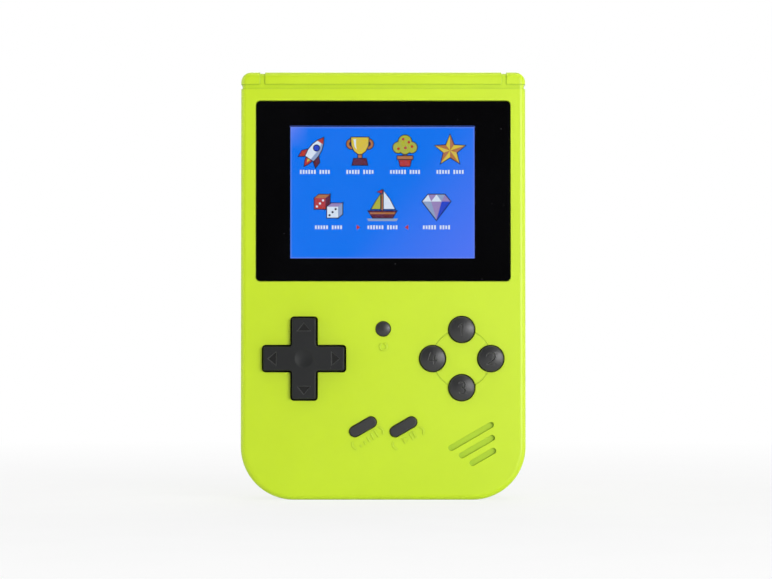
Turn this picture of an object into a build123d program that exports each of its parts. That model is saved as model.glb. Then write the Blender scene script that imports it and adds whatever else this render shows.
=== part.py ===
from build123d import *
import math
import os

# Handheld game console standing on its base edge. X runs to the right as seen from
# the front, the front looks towards -Y, Z runs up. The origin is the middle of the
# base of the whole console, keys included. Depths are counted from the front face
# of the case towards its back. All lengths are millimetres.

# Case
case_width = 76.8
case_height = 115.4
case_depth = 19.0
case_wall = 2.0
base_corner_radius = 14.3
top_corner_radius = 2.7
least_corner_radius = 0.5
front_edge_radius = 1.5
back_edge_radius = 2.4

# Seam between the two shells
seam_depth = 9.0
seam_line_width = 0.4
seam_line_depth = 0.3
lip_height = 1.2
lip_root = 1.5
lip_thickness = 0.8
lip_gap = 0.15

# Bar across the top
bar_height = 3.3
bar_groove_height = 1.3
bar_groove_depth = 0.35
bar_notch_width = 1.4
bar_cap_width = 5.1

# Clearances and overruns
overrun = 5.0
fit_gap = 0.1
running_gap = 0.3
thread_gap = 0.05

# Screen lens
lens_side_margin = 4.15
lens_top_margin = 7.9
lens_low_z = 58.9
lens_thickness = 0.9
lens_corner_radius = 1.1
lens_edge_radius = 0.15
lens_setback = 0.3
lens_gap = 0.15
tape_thickness = 0.15
tape_margin = 0.6
window_side_margin = 9.3
window_high_margin = 6.5
window_shift_x = -0.3
window_shift_z = -0.3
window_margin = 1.0

# Display module
display_side_margin = 4.55
display_high_margin = 3.2
display_frame_wall = 0.25
display_frame_lap = 0.1
glass_thickness = 1.2
backlight_thickness = 1.1
gasket_thickness = 0.5
gasket_margin = 0.4
gasket_rim = 1.2
display_pad_width = 4.0
display_pad_offset = 20.0
display_pad_margin = 3.0
display_rib_thickness = 1.0
display_rib_length = 8.0
display_rib_offset = 21.0
display_rib_height = 2.0
ribbon_width = 22.0
ribbon_thickness = 0.15
ribbon_drop = 2.6
ribbon_slope = 2.4
ribbon_tail = 5.0
ribbon_bend_radius = 0.9

# Main board
board_depth = 5.5
board_thickness = 1.2
board_gap = 0.7
board_top_margin = 10.8
board_boss_radius = 1.9
board_screw_side_inset = 5.0
board_screw_side_z = 57.0
board_screw_low_z = 7.5
board_screw_radius = 0.8
board_screw_head_radius = 1.6
board_screw_head_height = 1.0
board_screw_length = 4.4
board_hole_radius = 1.1

# Case screws
case_screw_low_inset = 5.4
case_screw_low_z = 26.0
case_screw_high_inset = 6.4
case_screw_top_inset = 7.8
case_boss_radius = 2.6
case_post_radius = 2.9
case_screw_radius = 1.0
case_screw_hole_radius = 1.25
case_screw_head_radius = 1.9
case_screw_head_height = 1.3
case_screw_head_gap = 0.3
case_screw_tip_depth = 4.0
case_screw_sink = 6.0
driver_slot_width = 0.6
driver_slot_depth = 0.6
driver_slot_share = 0.7

# Direction pad
pad_side_inset = 17.1
pad_center_z = 38.0
pad_span = 21.7
pad_arm = 6.4
pad_tip_radius = 0.45
pad_crook_radius = 0.8
pad_edge_radius = 0.3
pad_proud = 1.9
pad_gap = 0.5
pad_pocket_depth = 0.6
pad_pocket_radius = 13.0
pad_rise = 1.25
pad_flange_thickness = 0.8
pad_flange_side = 0.8
pad_flange_end = 1.0
pad_dish_radius = 2.45
pad_dish_depth = 0.35
pad_arrow_length = 1.9
pad_arrow_width = 3.1
pad_arrow_depth = 0.3
pad_arrow_lean = 35
pad_arrow_inset = 1.4
pivot_depth = 4.0
pivot_radius = 1.4
pivot_hub_radius = 2.3
pivot_hub_lap = 0.1
pad_pill_radius = 1.9
pad_pill_offset = 7.4
pad_pill_length = 1.1

# Rubber sheets and conductive pills
rubber_thickness = 0.6
rubber_skirt_height = 0.55
rubber_skirt_thickness = 0.7
rubber_gap = 0.45
pill_rest_gap = 0.1

# Face keys
key_side_inset = 17.26
key_center_z = 38.0
key_offset = 7.83
key_radius = 3.42
key_gap = 0.28
key_proud = 1.5
key_crown = 0.6
key_rim_radius = 0.3
key_travel = 1.2
key_flange_radius = 4.3
key_flange_thickness = 0.9
key_flange_gap = 0.1
key_pill_radius = 2.3
key_lug_width = 1.2
key_lug_length = 0.8
collar_gap = 0.25
collar_thickness = 0.7
collar_height = 1.0
ring_line_width = 0.28
ring_line_depth = 0.12
numeral_width = 2.1
numeral_height = 3.1
numeral_pen = 0.16
numeral_depth = 0.35
numeral_lean = 20
one_flag_width_share = 0.7
one_flag_height_share = 0.5
two_lean_angle = 35
two_hook_angle = 10
three_bowl_angle = 240
three_low_start_angle = 150
four_stem_share = 0.4
four_top_share = 0.45
four_bar_share = 0.3

# Reset key
reset_x = 0.0
reset_z = 46.0
reset_radius = 1.95
reset_gap = 0.15
reset_crown = 0.35
reset_rim_radius = 0.2
reset_flange_radius = 2.8

# Sound and start keys
menu_key_offset = 5.44
menu_key_z = 19.66
menu_key_length = 7.8
menu_key_width = 2.82
menu_key_angle = 30
menu_key_gap = 0.2
menu_key_edge_radius = 0.3
menu_key_flange = 0.8
menu_rubber_margin = 2.5
small_key_proud = 0.8
small_key_travel = 0.7
small_pill_radius = 1.3

# Raised marks on the front
mark_height = 0.2
mark_pen = 0.36
label_shift_x = 1.25
label_shift_z = -3.05
label_length = 9.2
label_height = 2.2
label_bow_radius = 1.3
label_bow_angle = 100
level_bar_count = 5
play_mark_share = 0.9
play_bar_shares = (0.5, 1.0)
reset_mark_z = 41.2
reset_mark_radius = 0.95
reset_mark_gap_angle = 80
reset_mark_head = 0.6

# Blind slanted slots at the lower right
slot_width = 1.6
slot_depth = 0.9
slot_angle = 30
slot_pitch = 3.17
slot_lengths = (13.9, 10.9, 8.0)
slot_side_inset = 13.15
slot_center_z = 14.33

# Speaker, which faces the back
speaker_radius = 10.0
speaker_height = 3.7
speaker_wall = 0.8
speaker_floor = 0.6
speaker_step = 0.8
speaker_magnet_radius = 6.5
speaker_magnet_height = 1.5
speaker_gasket_thickness = 0.4
speaker_gasket_width = 1.2
speaker_cup_thickness = 0.8
speaker_cup_gap = 0.15
speaker_cup_height = 3.5
cone_thickness = 0.3
cone_rim = 0.9
cone_depth = 1.3
cone_coil_radius = 3.0
sound_hole_radius = 0.75
sound_hole_pitch = 2.8
sound_hole_rings = 2
sound_holes_per_ring = 6

# Power switch on the right side
switch_top_inset = 31.4
switch_body_length = 8.6
switch_body_width = 3.6
switch_body_height = 3.6
switch_body_inset = 2.7
switch_window_depth = 1.2
switch_travel = 2.0
lever_width = 1.5
lever_reach = 2.9
knob_width = 2.2
knob_length = 4.0
knob_setback = 0.25
knob_plate_thickness = 0.8
knob_plate_length = 8.9
knob_plate_width = 3.3
knob_gap = 0.2
knob_edge_radius = 0.2
knob_rib_count = 3
knob_rib_width = 0.4
knob_rib_depth = 0.25
switch_pocket_length = 10.0
switch_pocket_width = 4.6
switch_pocket_depth = 0.9

# Charge port and audio-video jack in the base
port_x = 9.0
port_width = 7.6
port_height = 2.7
port_length = 5.6
port_shell = 0.3
port_corner = 0.8
port_setback = 0.9
port_gap = 0.35
port_tongue_width = 3.8
port_tongue_height = 0.6
port_tongue_setback = 0.7
jack_x = -13.0
jack_width = 6.0
jack_height = 5.0
jack_length = 12.0
jack_nose_radius = 2.6
jack_nose_setback = 0.4
jack_bore_radius = 1.8
jack_bore_length = 13.5
jack_nose_gap = 0.2

# Battery, its bay and its cover
battery_width = 34.0
battery_corner_share = 0.214
battery_gap = 0.3
bay_low_z = 28.5
bay_top_margin = 27.9
bay_part_room = 3.7
bay_wall = 1.4
bay_floor = 1.2
bay_foot_room = 3.8
bay_contact_room = 2.2
bay_rib_offset = 13.0
bay_rib_width = 1.4
bay_rib_height = 4.4
bay_inner_radius = 0.6
cover_thickness = 1.6
cover_ledge = 1.5
cover_gap = 0.2
cover_corner_radius = 1.6
cover_grip_count = 5
cover_grip_width = 0.9
cover_grip_pitch = 1.9
cover_grip_length = 13.0
cover_grip_depth = 0.4
cover_grip_inset = 6.0
cover_arrow_size = 3.0
cover_slit_width = 0.9
cover_slit_length = 17.5
cover_finger_width = 17.0
hook_width = 4.0
hook_offset = 6.0
hook_thickness = 1.0
hook_reach = 1.3
hook_root_length = 2.2
hook_room = 0.6
nail_notch_radius = 5.0
nail_notch_depth = 1.0
nail_notch_reach = 1.8
terminal_width = 3.0
terminal_height_share = 0.43
terminal_thickness = 0.3
terminal_pitch = 5.0
terminal_count = 3
contact_block_width = 17.0
contact_block_height = 3.0
contact_block_depth_share = 0.82
contact_width = 1.6
contact_thickness = 0.2
contact_bow_share = 0.16

# Parts on the back of the board
resin_radius = 7.5
resin_height = 1.6
resin_place_share = 0.71
memory_width = 18.4
memory_height = 12.0
memory_thickness = 1.0
memory_lead = 0.8
memory_lead_thickness = 0.3
memory_place_shares = (-0.07, 0.5)
small_chip_width = 5.0
small_chip_height = 4.0
small_chip_thickness = 1.5
small_chip_place_shares = ((0.34, 0.34), (-0.11, 0.325), (0.25, 0.92))
crystal_length = 11.0
crystal_width = 4.4
crystal_height = 3.0
crystal_place_shares = (0.14, 0.59)
capacitor_radius = 2.5
capacitor_height = 5.2
capacitor_base_height = 0.8
capacitor_place_shares = ((-0.36, 0.19), (-0.36, 0.44), (-0.36, 0.92), (0.36, 0.92))
chip_part_length = 1.6
chip_part_width = 0.8
chip_part_height = 0.5
chip_part_pitch = 3.0
chip_part_count = 5
chip_part_place_shares = ((0.08, 0.86), (0.28, 0.48), (-0.06, 0.23))

# Wires
wire_radius = 0.5
wire_pitch = 2.4
wire_count = 2
battery_wire_shift = 2.0
speaker_wire_drop_x = 8.0
speaker_wire_exit = 1.5
wire_bend_radius = 1.2

# Places worked out from the sizes above
quarter_turn = 90
half_turn = 180
full_turn = 360
front_proud = max(pad_proud, key_proud, small_key_proud)
front_y = front_proud - (case_depth + front_proud) / 2
side_x = case_width / 2
side_inner_x = side_x - case_wall
bar_notch_offset = side_x - bar_cap_width - bar_notch_width / 2
lens_width = case_width - 2 * lens_side_margin
lens_height = case_height - lens_top_margin - lens_low_z
lens_center_z = lens_low_z + lens_height / 2
window_width = lens_width - 2 * window_side_margin
window_height = lens_height - 2 * window_high_margin
window_center_x = window_shift_x
window_center_z = lens_center_z + window_shift_z
display_width = window_width + 2 * display_side_margin
display_height = window_height + 2 * display_high_margin
board_width = 2 * (side_inner_x - board_gap)
board_top = case_height - board_top_margin
board_screw_side_x = side_x - board_screw_side_inset
case_screw_seat_depth = case_depth - case_screw_sink
case_screw_length = case_screw_seat_depth - case_screw_tip_depth
case_screw_low_x = side_x - case_screw_low_inset
case_screw_high_x = side_x - case_screw_high_inset
case_screw_high_z = case_height - case_screw_top_inset
pad_center_x = pad_side_inset - side_x
key_center_x = side_x - key_side_inset
slot_center_x = side_x - slot_side_inset
switch_z = case_height - switch_top_inset
board_back = board_depth + board_thickness
lens_front = lens_setback
lens_back = lens_front + lens_thickness
ledge_front = lens_back + tape_thickness
glass_front = case_wall + gasket_thickness
glass_back = glass_front + glass_thickness
backlight_back = glass_back + backlight_thickness
frame_back = backlight_back + display_frame_wall
rubber_front = board_depth - rubber_thickness
skirt_front = rubber_front - rubber_skirt_height
key_flange_front = case_wall + key_flange_gap
key_flange_back = key_flange_front + key_flange_thickness
pad_flange_front = case_wall - pad_pocket_depth + pad_rise
pad_flange_back = pad_flange_front + pad_flange_thickness
cover_front = case_depth - cover_thickness
battery_back = cover_front - fit_gap
bay_floor_front = board_back + bay_part_room
bay_floor_back = bay_floor_front + bay_floor
battery_front = bay_floor_back + fit_gap
battery_thickness = battery_back - battery_front
terminal_height = battery_thickness * terminal_height_share
contact_block_depth = battery_thickness * contact_block_depth_share
contact_bow = battery_thickness * contact_bow_share
bay_width = battery_width + 2 * battery_gap
bay_height = case_height - bay_top_margin - bay_low_z
battery_height = bay_height - bay_foot_room - bay_contact_room
bay_center_z = bay_low_z + bay_height / 2
bay_high_z = bay_low_z + bay_height
battery_low_z = bay_low_z + bay_foot_room
battery_high_z = battery_low_z + battery_height
cover_width = bay_width + 2 * cover_ledge
cover_height = bay_height + 2 * cover_ledge
cover_low_z = bay_low_z - cover_ledge
speaker_x = slot_center_x
speaker_z = slot_center_z
speaker_back = case_depth - case_wall - speaker_gasket_thickness
speaker_front = speaker_back - speaker_height
switch_depth = board_back + switch_body_height / 2
switch_face_x = side_inner_x - switch_body_inset
knob_tip_x = side_x - knob_setback
knob_plate_x = side_inner_x - fit_gap - knob_plate_thickness
port_depth = board_back + port_height / 2
jack_depth = board_back + jack_height / 2
jack_low_z = case_wall + running_gap
case_screw_places = (
    (-case_screw_low_x, case_screw_low_z),
    (case_screw_low_x, case_screw_low_z),
    (-case_screw_high_x, case_screw_high_z),
    (case_screw_high_x, case_screw_high_z),
)
board_screw_places = (
    (-board_screw_side_x, board_screw_side_z),
    (board_screw_side_x, board_screw_side_z),
    (0, board_screw_low_z),
)
# Face keys by name: the direction from the middle of the diamond, in degrees
face_keys = {"top": 90, "right": 0, "bottom": 270, "left": 180}
menu_keys = {"sound": -menu_key_offset, "start": menu_key_offset}


# Helpers


def slab(profile, near, far):
    """A front-view profile made solid between two depths behind the front face."""
    plane = Plane.XZ.offset(-front_y - far)
    return extrude(plane * profile, amount=far - near)


def upright(profile, low, high):
    """A profile seen from above, made solid between two heights."""
    return extrude(Plane.XY.offset(low) * profile, amount=high - low)


def sideways(profile, left, right):
    """A profile of Y and Z, made solid between two places along X."""
    return extrude(Plane.YZ.offset(left) * profile, amount=right - left)


def rounded(width, height, radius):
    """A rectangle with round corners, centred on its own origin."""
    return RectangleRounded(width, height, radius)


def stroke(start, end, pen):
    """A round-ended line of a given pen width between two sketch points."""
    run = Vector(*end) - Vector(*start)
    middle = (Vector(*end) + Vector(*start)) / 2
    turn = math.degrees(math.atan2(run.Y, run.X))
    return Pos(middle.X, middle.Y) * Rot(0, 0, turn) * SlotCenterToCenter(run.length, pen)


def bow(center, radius, start, sweep_angle, pen):
    """A round-ended arc of a given pen width."""
    return SlotArc(CenterArc(center, radius, start, sweep_angle), pen)


def polar(radius, angle):
    """The sketch point at a radius and an angle in degrees."""
    return (radius * math.cos(math.radians(angle)), radius * math.sin(math.radians(angle)))


def stadium(length, width):
    """A round-ended slot outline along X, by its full length."""
    return SlotOverall(length, width)


def stadium_up(length, width):
    """A round-ended slot outline along the height."""
    return Rot(0, 0, quarter_turn) * stadium(length, width)


def union(shapes):
    """All the given shapes joined into one."""
    total = shapes[0]
    for shape in shapes[1:]:
        total = total + shape
    return total


def group(shapes):
    """Separate solids that share one node."""
    return Compound(children=[Part() + shape for shape in shapes])


def at_front(x, z):
    """The place of a piece drawn lying on its back: its Z points out of the front face."""
    return Pos(x, front_y, z) * Rot(quarter_turn, 0, 0)


def rod(radius, low, high):
    """An upright cylinder in a piece's own frame."""
    return extrude(Plane.XY.offset(low) * Circle(radius), amount=high - low)


# Case outline and the hollow skin that the two shells are parted from


def case_profile(inset):
    """Front outline of the case, drawn in all round by an inset."""
    sheet = Rectangle(case_width - 2 * inset, case_height - 2 * inset)
    low = sheet.vertices().sort_by(Axis.Y)[:2]
    sheet = fillet(low, max(base_corner_radius - inset, least_corner_radius))
    high = sheet.vertices().sort_by(Axis.Y)[-2:]
    sheet = fillet(high, max(top_corner_radius - inset, least_corner_radius))
    return Pos(0, case_height / 2) * sheet


def case_block(inset):
    """The whole case as a solid with its rounded edges, drawn in by an inset."""
    block = slab(case_profile(inset), inset, case_depth - inset)
    front_rim = block.faces().sort_by(Axis.Y)[0].edges()
    block = fillet(front_rim, front_edge_radius - inset)
    back_rim = block.faces().sort_by(Axis.Y)[-1].edges()
    return fillet(back_rim, back_edge_radius - inset)


def surface_groove(region, depth):
    """What a groove of one depth takes out of the case's surface inside a region."""
    return region - case_block(depth)


def case_skin():
    """Hollow case with the bar, its notches and the seam line, not yet parted."""
    bar_low = case_height - bar_height
    over_width = case_width + 2 * overrun
    band = Pos(0, bar_low - bar_groove_height / 2) * Rectangle(over_width, bar_groove_height)
    groove = slab(band, -overrun, case_depth + overrun)
    skin = case_block(0) - surface_groove(groove, bar_groove_depth)
    notch_height = bar_height + overrun
    for side in (-1, 1):
        notch = Pos(side * bar_notch_offset, bar_low + notch_height / 2)
        column = slab(notch * Rectangle(bar_notch_width, notch_height), -overrun, case_depth + overrun)
        skin = skin - surface_groove(column, bar_groove_depth)
    sheet = Pos(0, case_height / 2) * Rectangle(over_width, case_height + 2 * overrun)
    seam = slab(sheet, seam_depth - seam_line_width / 2, seam_depth + seam_line_width / 2)
    skin = skin - (seam - slab(case_profile(seam_line_depth), 0, case_depth))
    return skin - slab(case_profile(case_wall), case_wall, case_depth - case_wall)


def half_space(near, far):
    """A block over the whole case between two depths."""
    sheet = Pos(0, case_height / 2) * Rectangle(case_width + 2 * overrun, case_height + 2 * overrun)
    return slab(sheet, near, far)


def shell_lip():
    """Lip of the front shell that reaches into the rear shell."""
    inner = case_profile(case_wall + lip_gap + lip_thickness)
    root = slab(case_profile(case_wall / 2) - inner, seam_depth - lip_root, seam_depth)
    reach = slab(case_profile(case_wall + lip_gap) - inner, seam_depth, seam_depth + lip_height)
    for x, z in case_screw_places:
        post = Pos(x, z) * Circle(case_post_radius + lip_gap)
        reach = reach - slab(post, seam_depth, seam_depth + lip_height)
    return root, reach


# Openings that both shells share


def switch_slot():
    """Room for the power knob: outside pocket, slot through the wall, room for its plate."""
    depth_y = front_y + switch_depth
    middle_z = switch_z - switch_travel / 2
    pocket = Pos(depth_y, middle_z) * stadium_up(switch_pocket_length, switch_pocket_width)
    slot_width_y = knob_width + 2 * knob_gap
    slot_length_z = knob_length + switch_travel + 2 * knob_gap
    slot = Pos(depth_y, middle_z) * Rectangle(slot_width_y, slot_length_z)
    room_width = knob_plate_width + 2 * running_gap
    room_length = knob_plate_length + switch_travel + 2 * running_gap
    room = Pos(depth_y, middle_z) * Rectangle(room_width, room_length)
    cut = sideways(pocket, side_x - switch_pocket_depth, side_x + overrun)
    cut = cut + sideways(slot, side_inner_x - lip_thickness, side_x)
    return cut + sideways(room, knob_plate_x - running_gap, side_inner_x)


def port_opening():
    """Hole in the base for the charge port, with room for its body above the wall."""
    place = Pos(port_x, front_y + port_depth)
    mouth_width = port_width + 2 * port_gap
    mouth_height = port_height + 2 * port_gap
    mouth = place * rounded(mouth_width, mouth_height, port_corner)
    return upright(mouth, -overrun, port_setback + port_length + port_gap)


def jack_opening():
    """Hole in the base for the jack's nose, with room for its body above the wall."""
    place = Pos(jack_x, front_y + jack_depth)
    hole = upright(place * Circle(jack_nose_radius + jack_nose_gap), -overrun, jack_low_z)
    body = place * Rectangle(jack_width + 2 * running_gap, jack_height + 2 * running_gap)
    return hole + upright(body, case_wall, jack_low_z + jack_length + running_gap)


# Front shell


def cross_profile(span, arm, tip_radius, crook_radius):
    """Outline of a cross with round tips and round inner corners."""
    sheet = Rectangle(span, arm) + Rectangle(arm, span)
    tips = sheet.vertices().sort_by_distance((0, 0))[4:]
    sheet = fillet(tips, tip_radius)
    crooks = sheet.vertices().sort_by_distance((0, 0))[:4]
    return fillet(crooks, crook_radius)


def key_place(angle):
    """The middle of a face key, from its direction in the diamond."""
    x, z = polar(key_offset, angle)
    return (key_center_x + x, key_center_z + z)


def key_collars():
    """Guide rings behind the wall that steer the face keys and their lugs."""
    collars = []
    inner = key_flange_radius + collar_gap
    outer = inner + collar_thickness
    for angle in face_keys.values():
        ring = Circle(outer) - Circle(inner)
        lug_room = Pos(outer / 2, 0) * Rectangle(outer + fit_gap, key_lug_width + 2 * collar_gap)
        ring = ring - Rot(0, 0, angle) * lug_room
        collars.append(slab(Pos(*key_place(angle)) * ring, case_wall / 2, case_wall + collar_height))
    return union(collars)


def display_ribs():
    """Short ribs that hold the display's frame from the sides."""
    ribs = []
    half_width = display_width / 2 + fit_gap + display_rib_thickness / 2
    half_height = display_height / 2 + fit_gap + display_rib_thickness / 2
    for side in (-1, 1):
        for step in (-1, 1):
            across = Pos(window_center_x + side * half_width, window_center_z + step * display_rib_offset / 2)
            ribs.append(across * Rectangle(display_rib_thickness, display_rib_length))
            along = Pos(window_center_x + step * display_rib_offset, window_center_z + side * half_height)
            ribs.append(along * Rectangle(display_rib_length, display_rib_thickness))
    return union([slab(rib, case_wall / 2, case_wall + display_rib_height) for rib in ribs])


def level_mark():
    """Rising bars, for the sound key."""
    bars = []
    pitch = (label_length - 2 * label_bow_radius) / level_bar_count
    for index in range(level_bar_count):
        height = label_height * (index + 1) / level_bar_count
        x = (index - (level_bar_count - 1) / 2) * pitch
        bars.append(Pos(x, (height - label_height) / 2) * Rectangle(mark_pen, height))
    return bars


def play_mark():
    """A triangle and two bars, for the start key."""
    side = label_height * play_mark_share
    arrow = Pos(-side / 2, 0) * Rot(0, 0, -quarter_turn) * RegularPolygon(side / 2, 3, rotation=quarter_turn)
    bars = [Pos(side * step, 0) * Rectangle(mark_pen, side) for step in play_bar_shares]
    return [arrow] + bars


def label_marks():
    """Raised brackets with a plain sign between them, beside each of the two pill keys."""
    signs = {"sound": level_mark(), "start": play_mark()}
    marks = []
    for name, x in menu_keys.items():
        place = Pos(x + label_shift_x, menu_key_z + label_shift_z) * Rot(0, 0, menu_key_angle)
        reach = label_length / 2 - label_bow_radius
        start = half_turn - label_bow_angle / 2
        left = bow((-reach, 0), label_bow_radius, start, label_bow_angle, mark_pen)
        right = bow((reach, 0), label_bow_radius, start - half_turn, label_bow_angle, mark_pen)
        marks.extend(place * sign for sign in signs[name] + [left, right])
    return marks


def reset_mark():
    """A round arrow below the reset key."""
    start = quarter_turn + reset_mark_gap_angle / 2
    end = quarter_turn - reset_mark_gap_angle / 2
    loop = bow((0, 0), reset_mark_radius, start, full_turn - reset_mark_gap_angle, mark_pen)
    head = Pos(*polar(reset_mark_radius, end)) * RegularPolygon(reset_mark_head, 3, rotation=end)
    return Pos(reset_x, reset_mark_z) * (loop + head)


def slanted_slots():
    """Three blind slots of falling length at the lower right."""
    slots = []
    place = Pos(slot_center_x, slot_center_z) * Rot(0, 0, slot_angle)
    for index, length in enumerate(slot_lengths):
        row = (len(slot_lengths) - 1) / 2 - index
        step = Pos(0, row * slot_pitch)
        slots.append(slab(place * step * stadium(length, slot_width), -overrun, slot_depth))
    return union(slots)


def front_holes():
    """Everything cut through or into the front wall."""
    recess = Pos(0, lens_center_z) * rounded(
        lens_width + 2 * lens_gap, lens_height + 2 * lens_gap, lens_corner_radius + lens_gap
    )
    view = Pos(window_center_x, window_center_z) * rounded(
        window_width + 2 * window_margin, window_height + 2 * window_margin, window_margin
    )
    well = cross_profile(
        pad_span + 2 * pad_gap, pad_arm + 2 * pad_gap, pad_tip_radius + pad_gap, pad_crook_radius - pad_gap
    )
    pocket = Pos(pad_center_x, pad_center_z) * Circle(pad_pocket_radius)
    cuts = [
        slab(recess, -overrun, ledge_front),
        slab(view, -overrun, case_wall + overrun),
        slab(Pos(pad_center_x, pad_center_z) * well, -overrun, case_wall + overrun),
        slab(pocket, case_wall - pad_pocket_depth, case_wall + overrun),
        slab(Pos(reset_x, reset_z) * Circle(reset_radius + reset_gap), -overrun, case_wall + overrun),
        slanted_slots(),
    ]
    for angle in face_keys.values():
        hole = Pos(*key_place(angle)) * Circle(key_radius + key_gap)
        cuts.append(slab(hole, -overrun, case_wall + overrun))
    for x in menu_keys.values():
        outline = stadium(menu_key_length + 2 * menu_key_gap, menu_key_width + 2 * menu_key_gap)
        hole = Pos(x, menu_key_z) * Rot(0, 0, menu_key_angle) * outline
        cuts.append(slab(hole, -overrun, case_wall + overrun))
    ring = Circle(key_offset + ring_line_width / 2) - Circle(key_offset - ring_line_width / 2)
    cuts.append(slab(Pos(key_center_x, key_center_z) * ring, -overrun, ring_line_depth))
    return cuts


def front_shell(skin):
    """Front half of the case with its screen recess, key holes, bosses and lip."""
    shell = skin & half_space(-overrun, seam_depth)
    lip_root_ring, lip_reach = shell_lip()
    shell = shell + lip_root_ring + lip_reach + key_collars() + display_ribs()
    for x, z in case_screw_places:
        shell = shell + slab(Pos(x, z) * Circle(case_boss_radius), case_wall / 2, seam_depth)
    for x, z in board_screw_places:
        shell = shell + slab(Pos(x, z) * Circle(board_boss_radius), case_wall / 2, board_depth)
    for cut in front_holes():
        shell = shell - cut
    for x, z in case_screw_places:
        pilot = Pos(x, z) * Circle(case_screw_radius + thread_gap)
        shell = shell - slab(pilot, case_wall, seam_depth + overrun)
    for x, z in board_screw_places:
        pilot = Pos(x, z) * Circle(board_screw_radius + thread_gap)
        shell = shell - slab(pilot, case_wall, board_depth + overrun)
    for cut in (switch_slot(), port_opening(), jack_opening()):
        shell = shell - cut
    for mark in label_marks() + [reset_mark()]:
        shell = shell + slab(mark, -mark_height, case_wall / 4)
    return shell


# Rear shell and battery cover


def cover_outline(inset):
    """Outline of the battery cover, drawn in by an inset."""
    sheet = rounded(cover_width - 2 * inset, cover_height - 2 * inset, cover_corner_radius - inset)
    return Pos(0, bay_center_z) * sheet


def hook_places():
    """Middles of the two hooks of the battery cover, along X."""
    return [side * hook_offset for side in (-1, 1)]


def hook_windows():
    """Gaps in the bay's lower wall that the cover's hooks swing through."""
    windows = []
    reach = hook_thickness + hook_room
    for x in hook_places():
        height = cover_ledge + cover_gap
        place = Pos(x, bay_low_z - height / 2)
        sheet = place * Rectangle(hook_width + 2 * hook_room, height)
        inner = case_depth - case_wall - reach - hook_room
        windows.append(slab(sheet, inner, cover_front + fit_gap))
    return union(windows)


def battery_bay():
    """Walls of the battery bay, closed at the front, open to the back."""
    outer = Pos(0, bay_center_z) * Rectangle(bay_width + 2 * bay_wall, bay_height + 2 * bay_wall)
    return slab(outer, bay_floor_front, case_depth - case_wall / 2)


def bay_pocket():
    """The hollow of the battery bay."""
    inner = Pos(0, bay_center_z) * rounded(bay_width, bay_height, bay_inner_radius)
    return slab(inner, bay_floor_back, case_depth + overrun)


def bay_ribs():
    """Ribs that keep the battery clear of the cover's hooks."""
    ribs = []
    for side in (-1, 1):
        height = bay_foot_room - fit_gap
        place = Pos(side * bay_rib_offset, bay_low_z + (height - bay_wall / 2) / 2)
        rib = place * Rectangle(bay_rib_width, height + bay_wall / 2)
        ribs.append(slab(rib, bay_floor_back - bay_floor / 2, bay_floor_back + bay_rib_height))
    return union(ribs)


def contact_window():
    """Gap in the bay's upper wall for the contact springs and their block."""
    width = contact_block_width + 2 * fit_gap
    height = bay_wall + contact_block_height + overrun
    sheet = Pos(0, bay_high_z + height / 2) * Rectangle(width, height)
    middle = (battery_front + battery_back) / 2
    reach = contact_block_depth / 2 + fit_gap
    return slab(sheet, middle - reach, middle + reach)


def sound_hole_places():
    """Sound holes in rings of six, twelve and so on around one in the middle."""
    places = [(speaker_x, speaker_z)]
    for ring in range(1, sound_hole_rings + 1):
        count = sound_holes_per_ring * ring
        for index in range(count):
            x, z = polar(ring * sound_hole_pitch, full_turn * index / count)
            places.append((speaker_x + x, speaker_z + z))
    return places


def nail_notch():
    """Fingernail hollow in the back wall above the battery cover."""
    z = cover_low_z + cover_height + nail_notch_reach - nail_notch_radius
    hollow = Pos(0, z) * Circle(nail_notch_radius)
    edge = cover_low_z + cover_height
    above = Pos(0, edge + nail_notch_radius) * Rectangle(4 * nail_notch_radius, 2 * nail_notch_radius)
    return slab(hollow & above, case_depth - nail_notch_depth, case_depth + overrun)


def rear_shell(skin):
    """Rear half of the case with the battery bay, speaker cup and screw posts."""
    shell = skin & half_space(seam_depth, case_depth + overrun)
    for x, z in case_screw_places:
        shell = shell + slab(Pos(x, z) * Circle(case_post_radius), seam_depth, case_depth - case_wall / 2)
    cup_inner = speaker_radius + speaker_cup_gap
    cup = Circle(cup_inner + speaker_cup_thickness) - Circle(cup_inner)
    cup_front = case_depth - case_wall - speaker_cup_height
    shell = shell + slab(Pos(speaker_x, speaker_z) * cup, cup_front, case_depth - case_wall / 2)
    shell = shell + battery_bay() - bay_pocket() + bay_ribs()
    shell = shell - slab(cover_outline(-cover_gap), cover_front, case_depth + overrun)
    cuts = [hook_windows(), contact_window(), nail_notch(), switch_slot(), port_opening(), jack_opening()]
    for x, z in case_screw_places:
        head = Pos(x, z) * Circle(case_screw_head_radius + case_screw_head_gap)
        cuts.append(slab(head, case_screw_seat_depth, case_depth + overrun))
        cuts.append(slab(Pos(x, z) * Circle(case_screw_hole_radius), 0, case_depth))
    for x, z in sound_hole_places():
        hole = Pos(x, z) * Circle(sound_hole_radius)
        cuts.append(slab(hole, case_depth - 2 * case_wall, case_depth + overrun))
    for cut in cuts:
        shell = shell - cut
    return shell


def cover_hook(x):
    """Hook at the cover's lower edge that reaches under the back wall."""
    inner = case_depth - case_wall - fit_gap - hook_thickness
    root = Pos(x, cover_low_z + cover_gap + hook_root_length / 2) * Rectangle(hook_width, hook_root_length)
    low = cover_low_z - hook_reach
    high = cover_low_z + cover_gap + hook_root_length
    toe = Pos(x, (low + high) / 2) * Rectangle(hook_width, high - low)
    toe_solid = slab(toe, inner, inner + hook_thickness)
    return slab(root, inner, cover_front + cover_thickness / 2) + toe_solid


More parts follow.
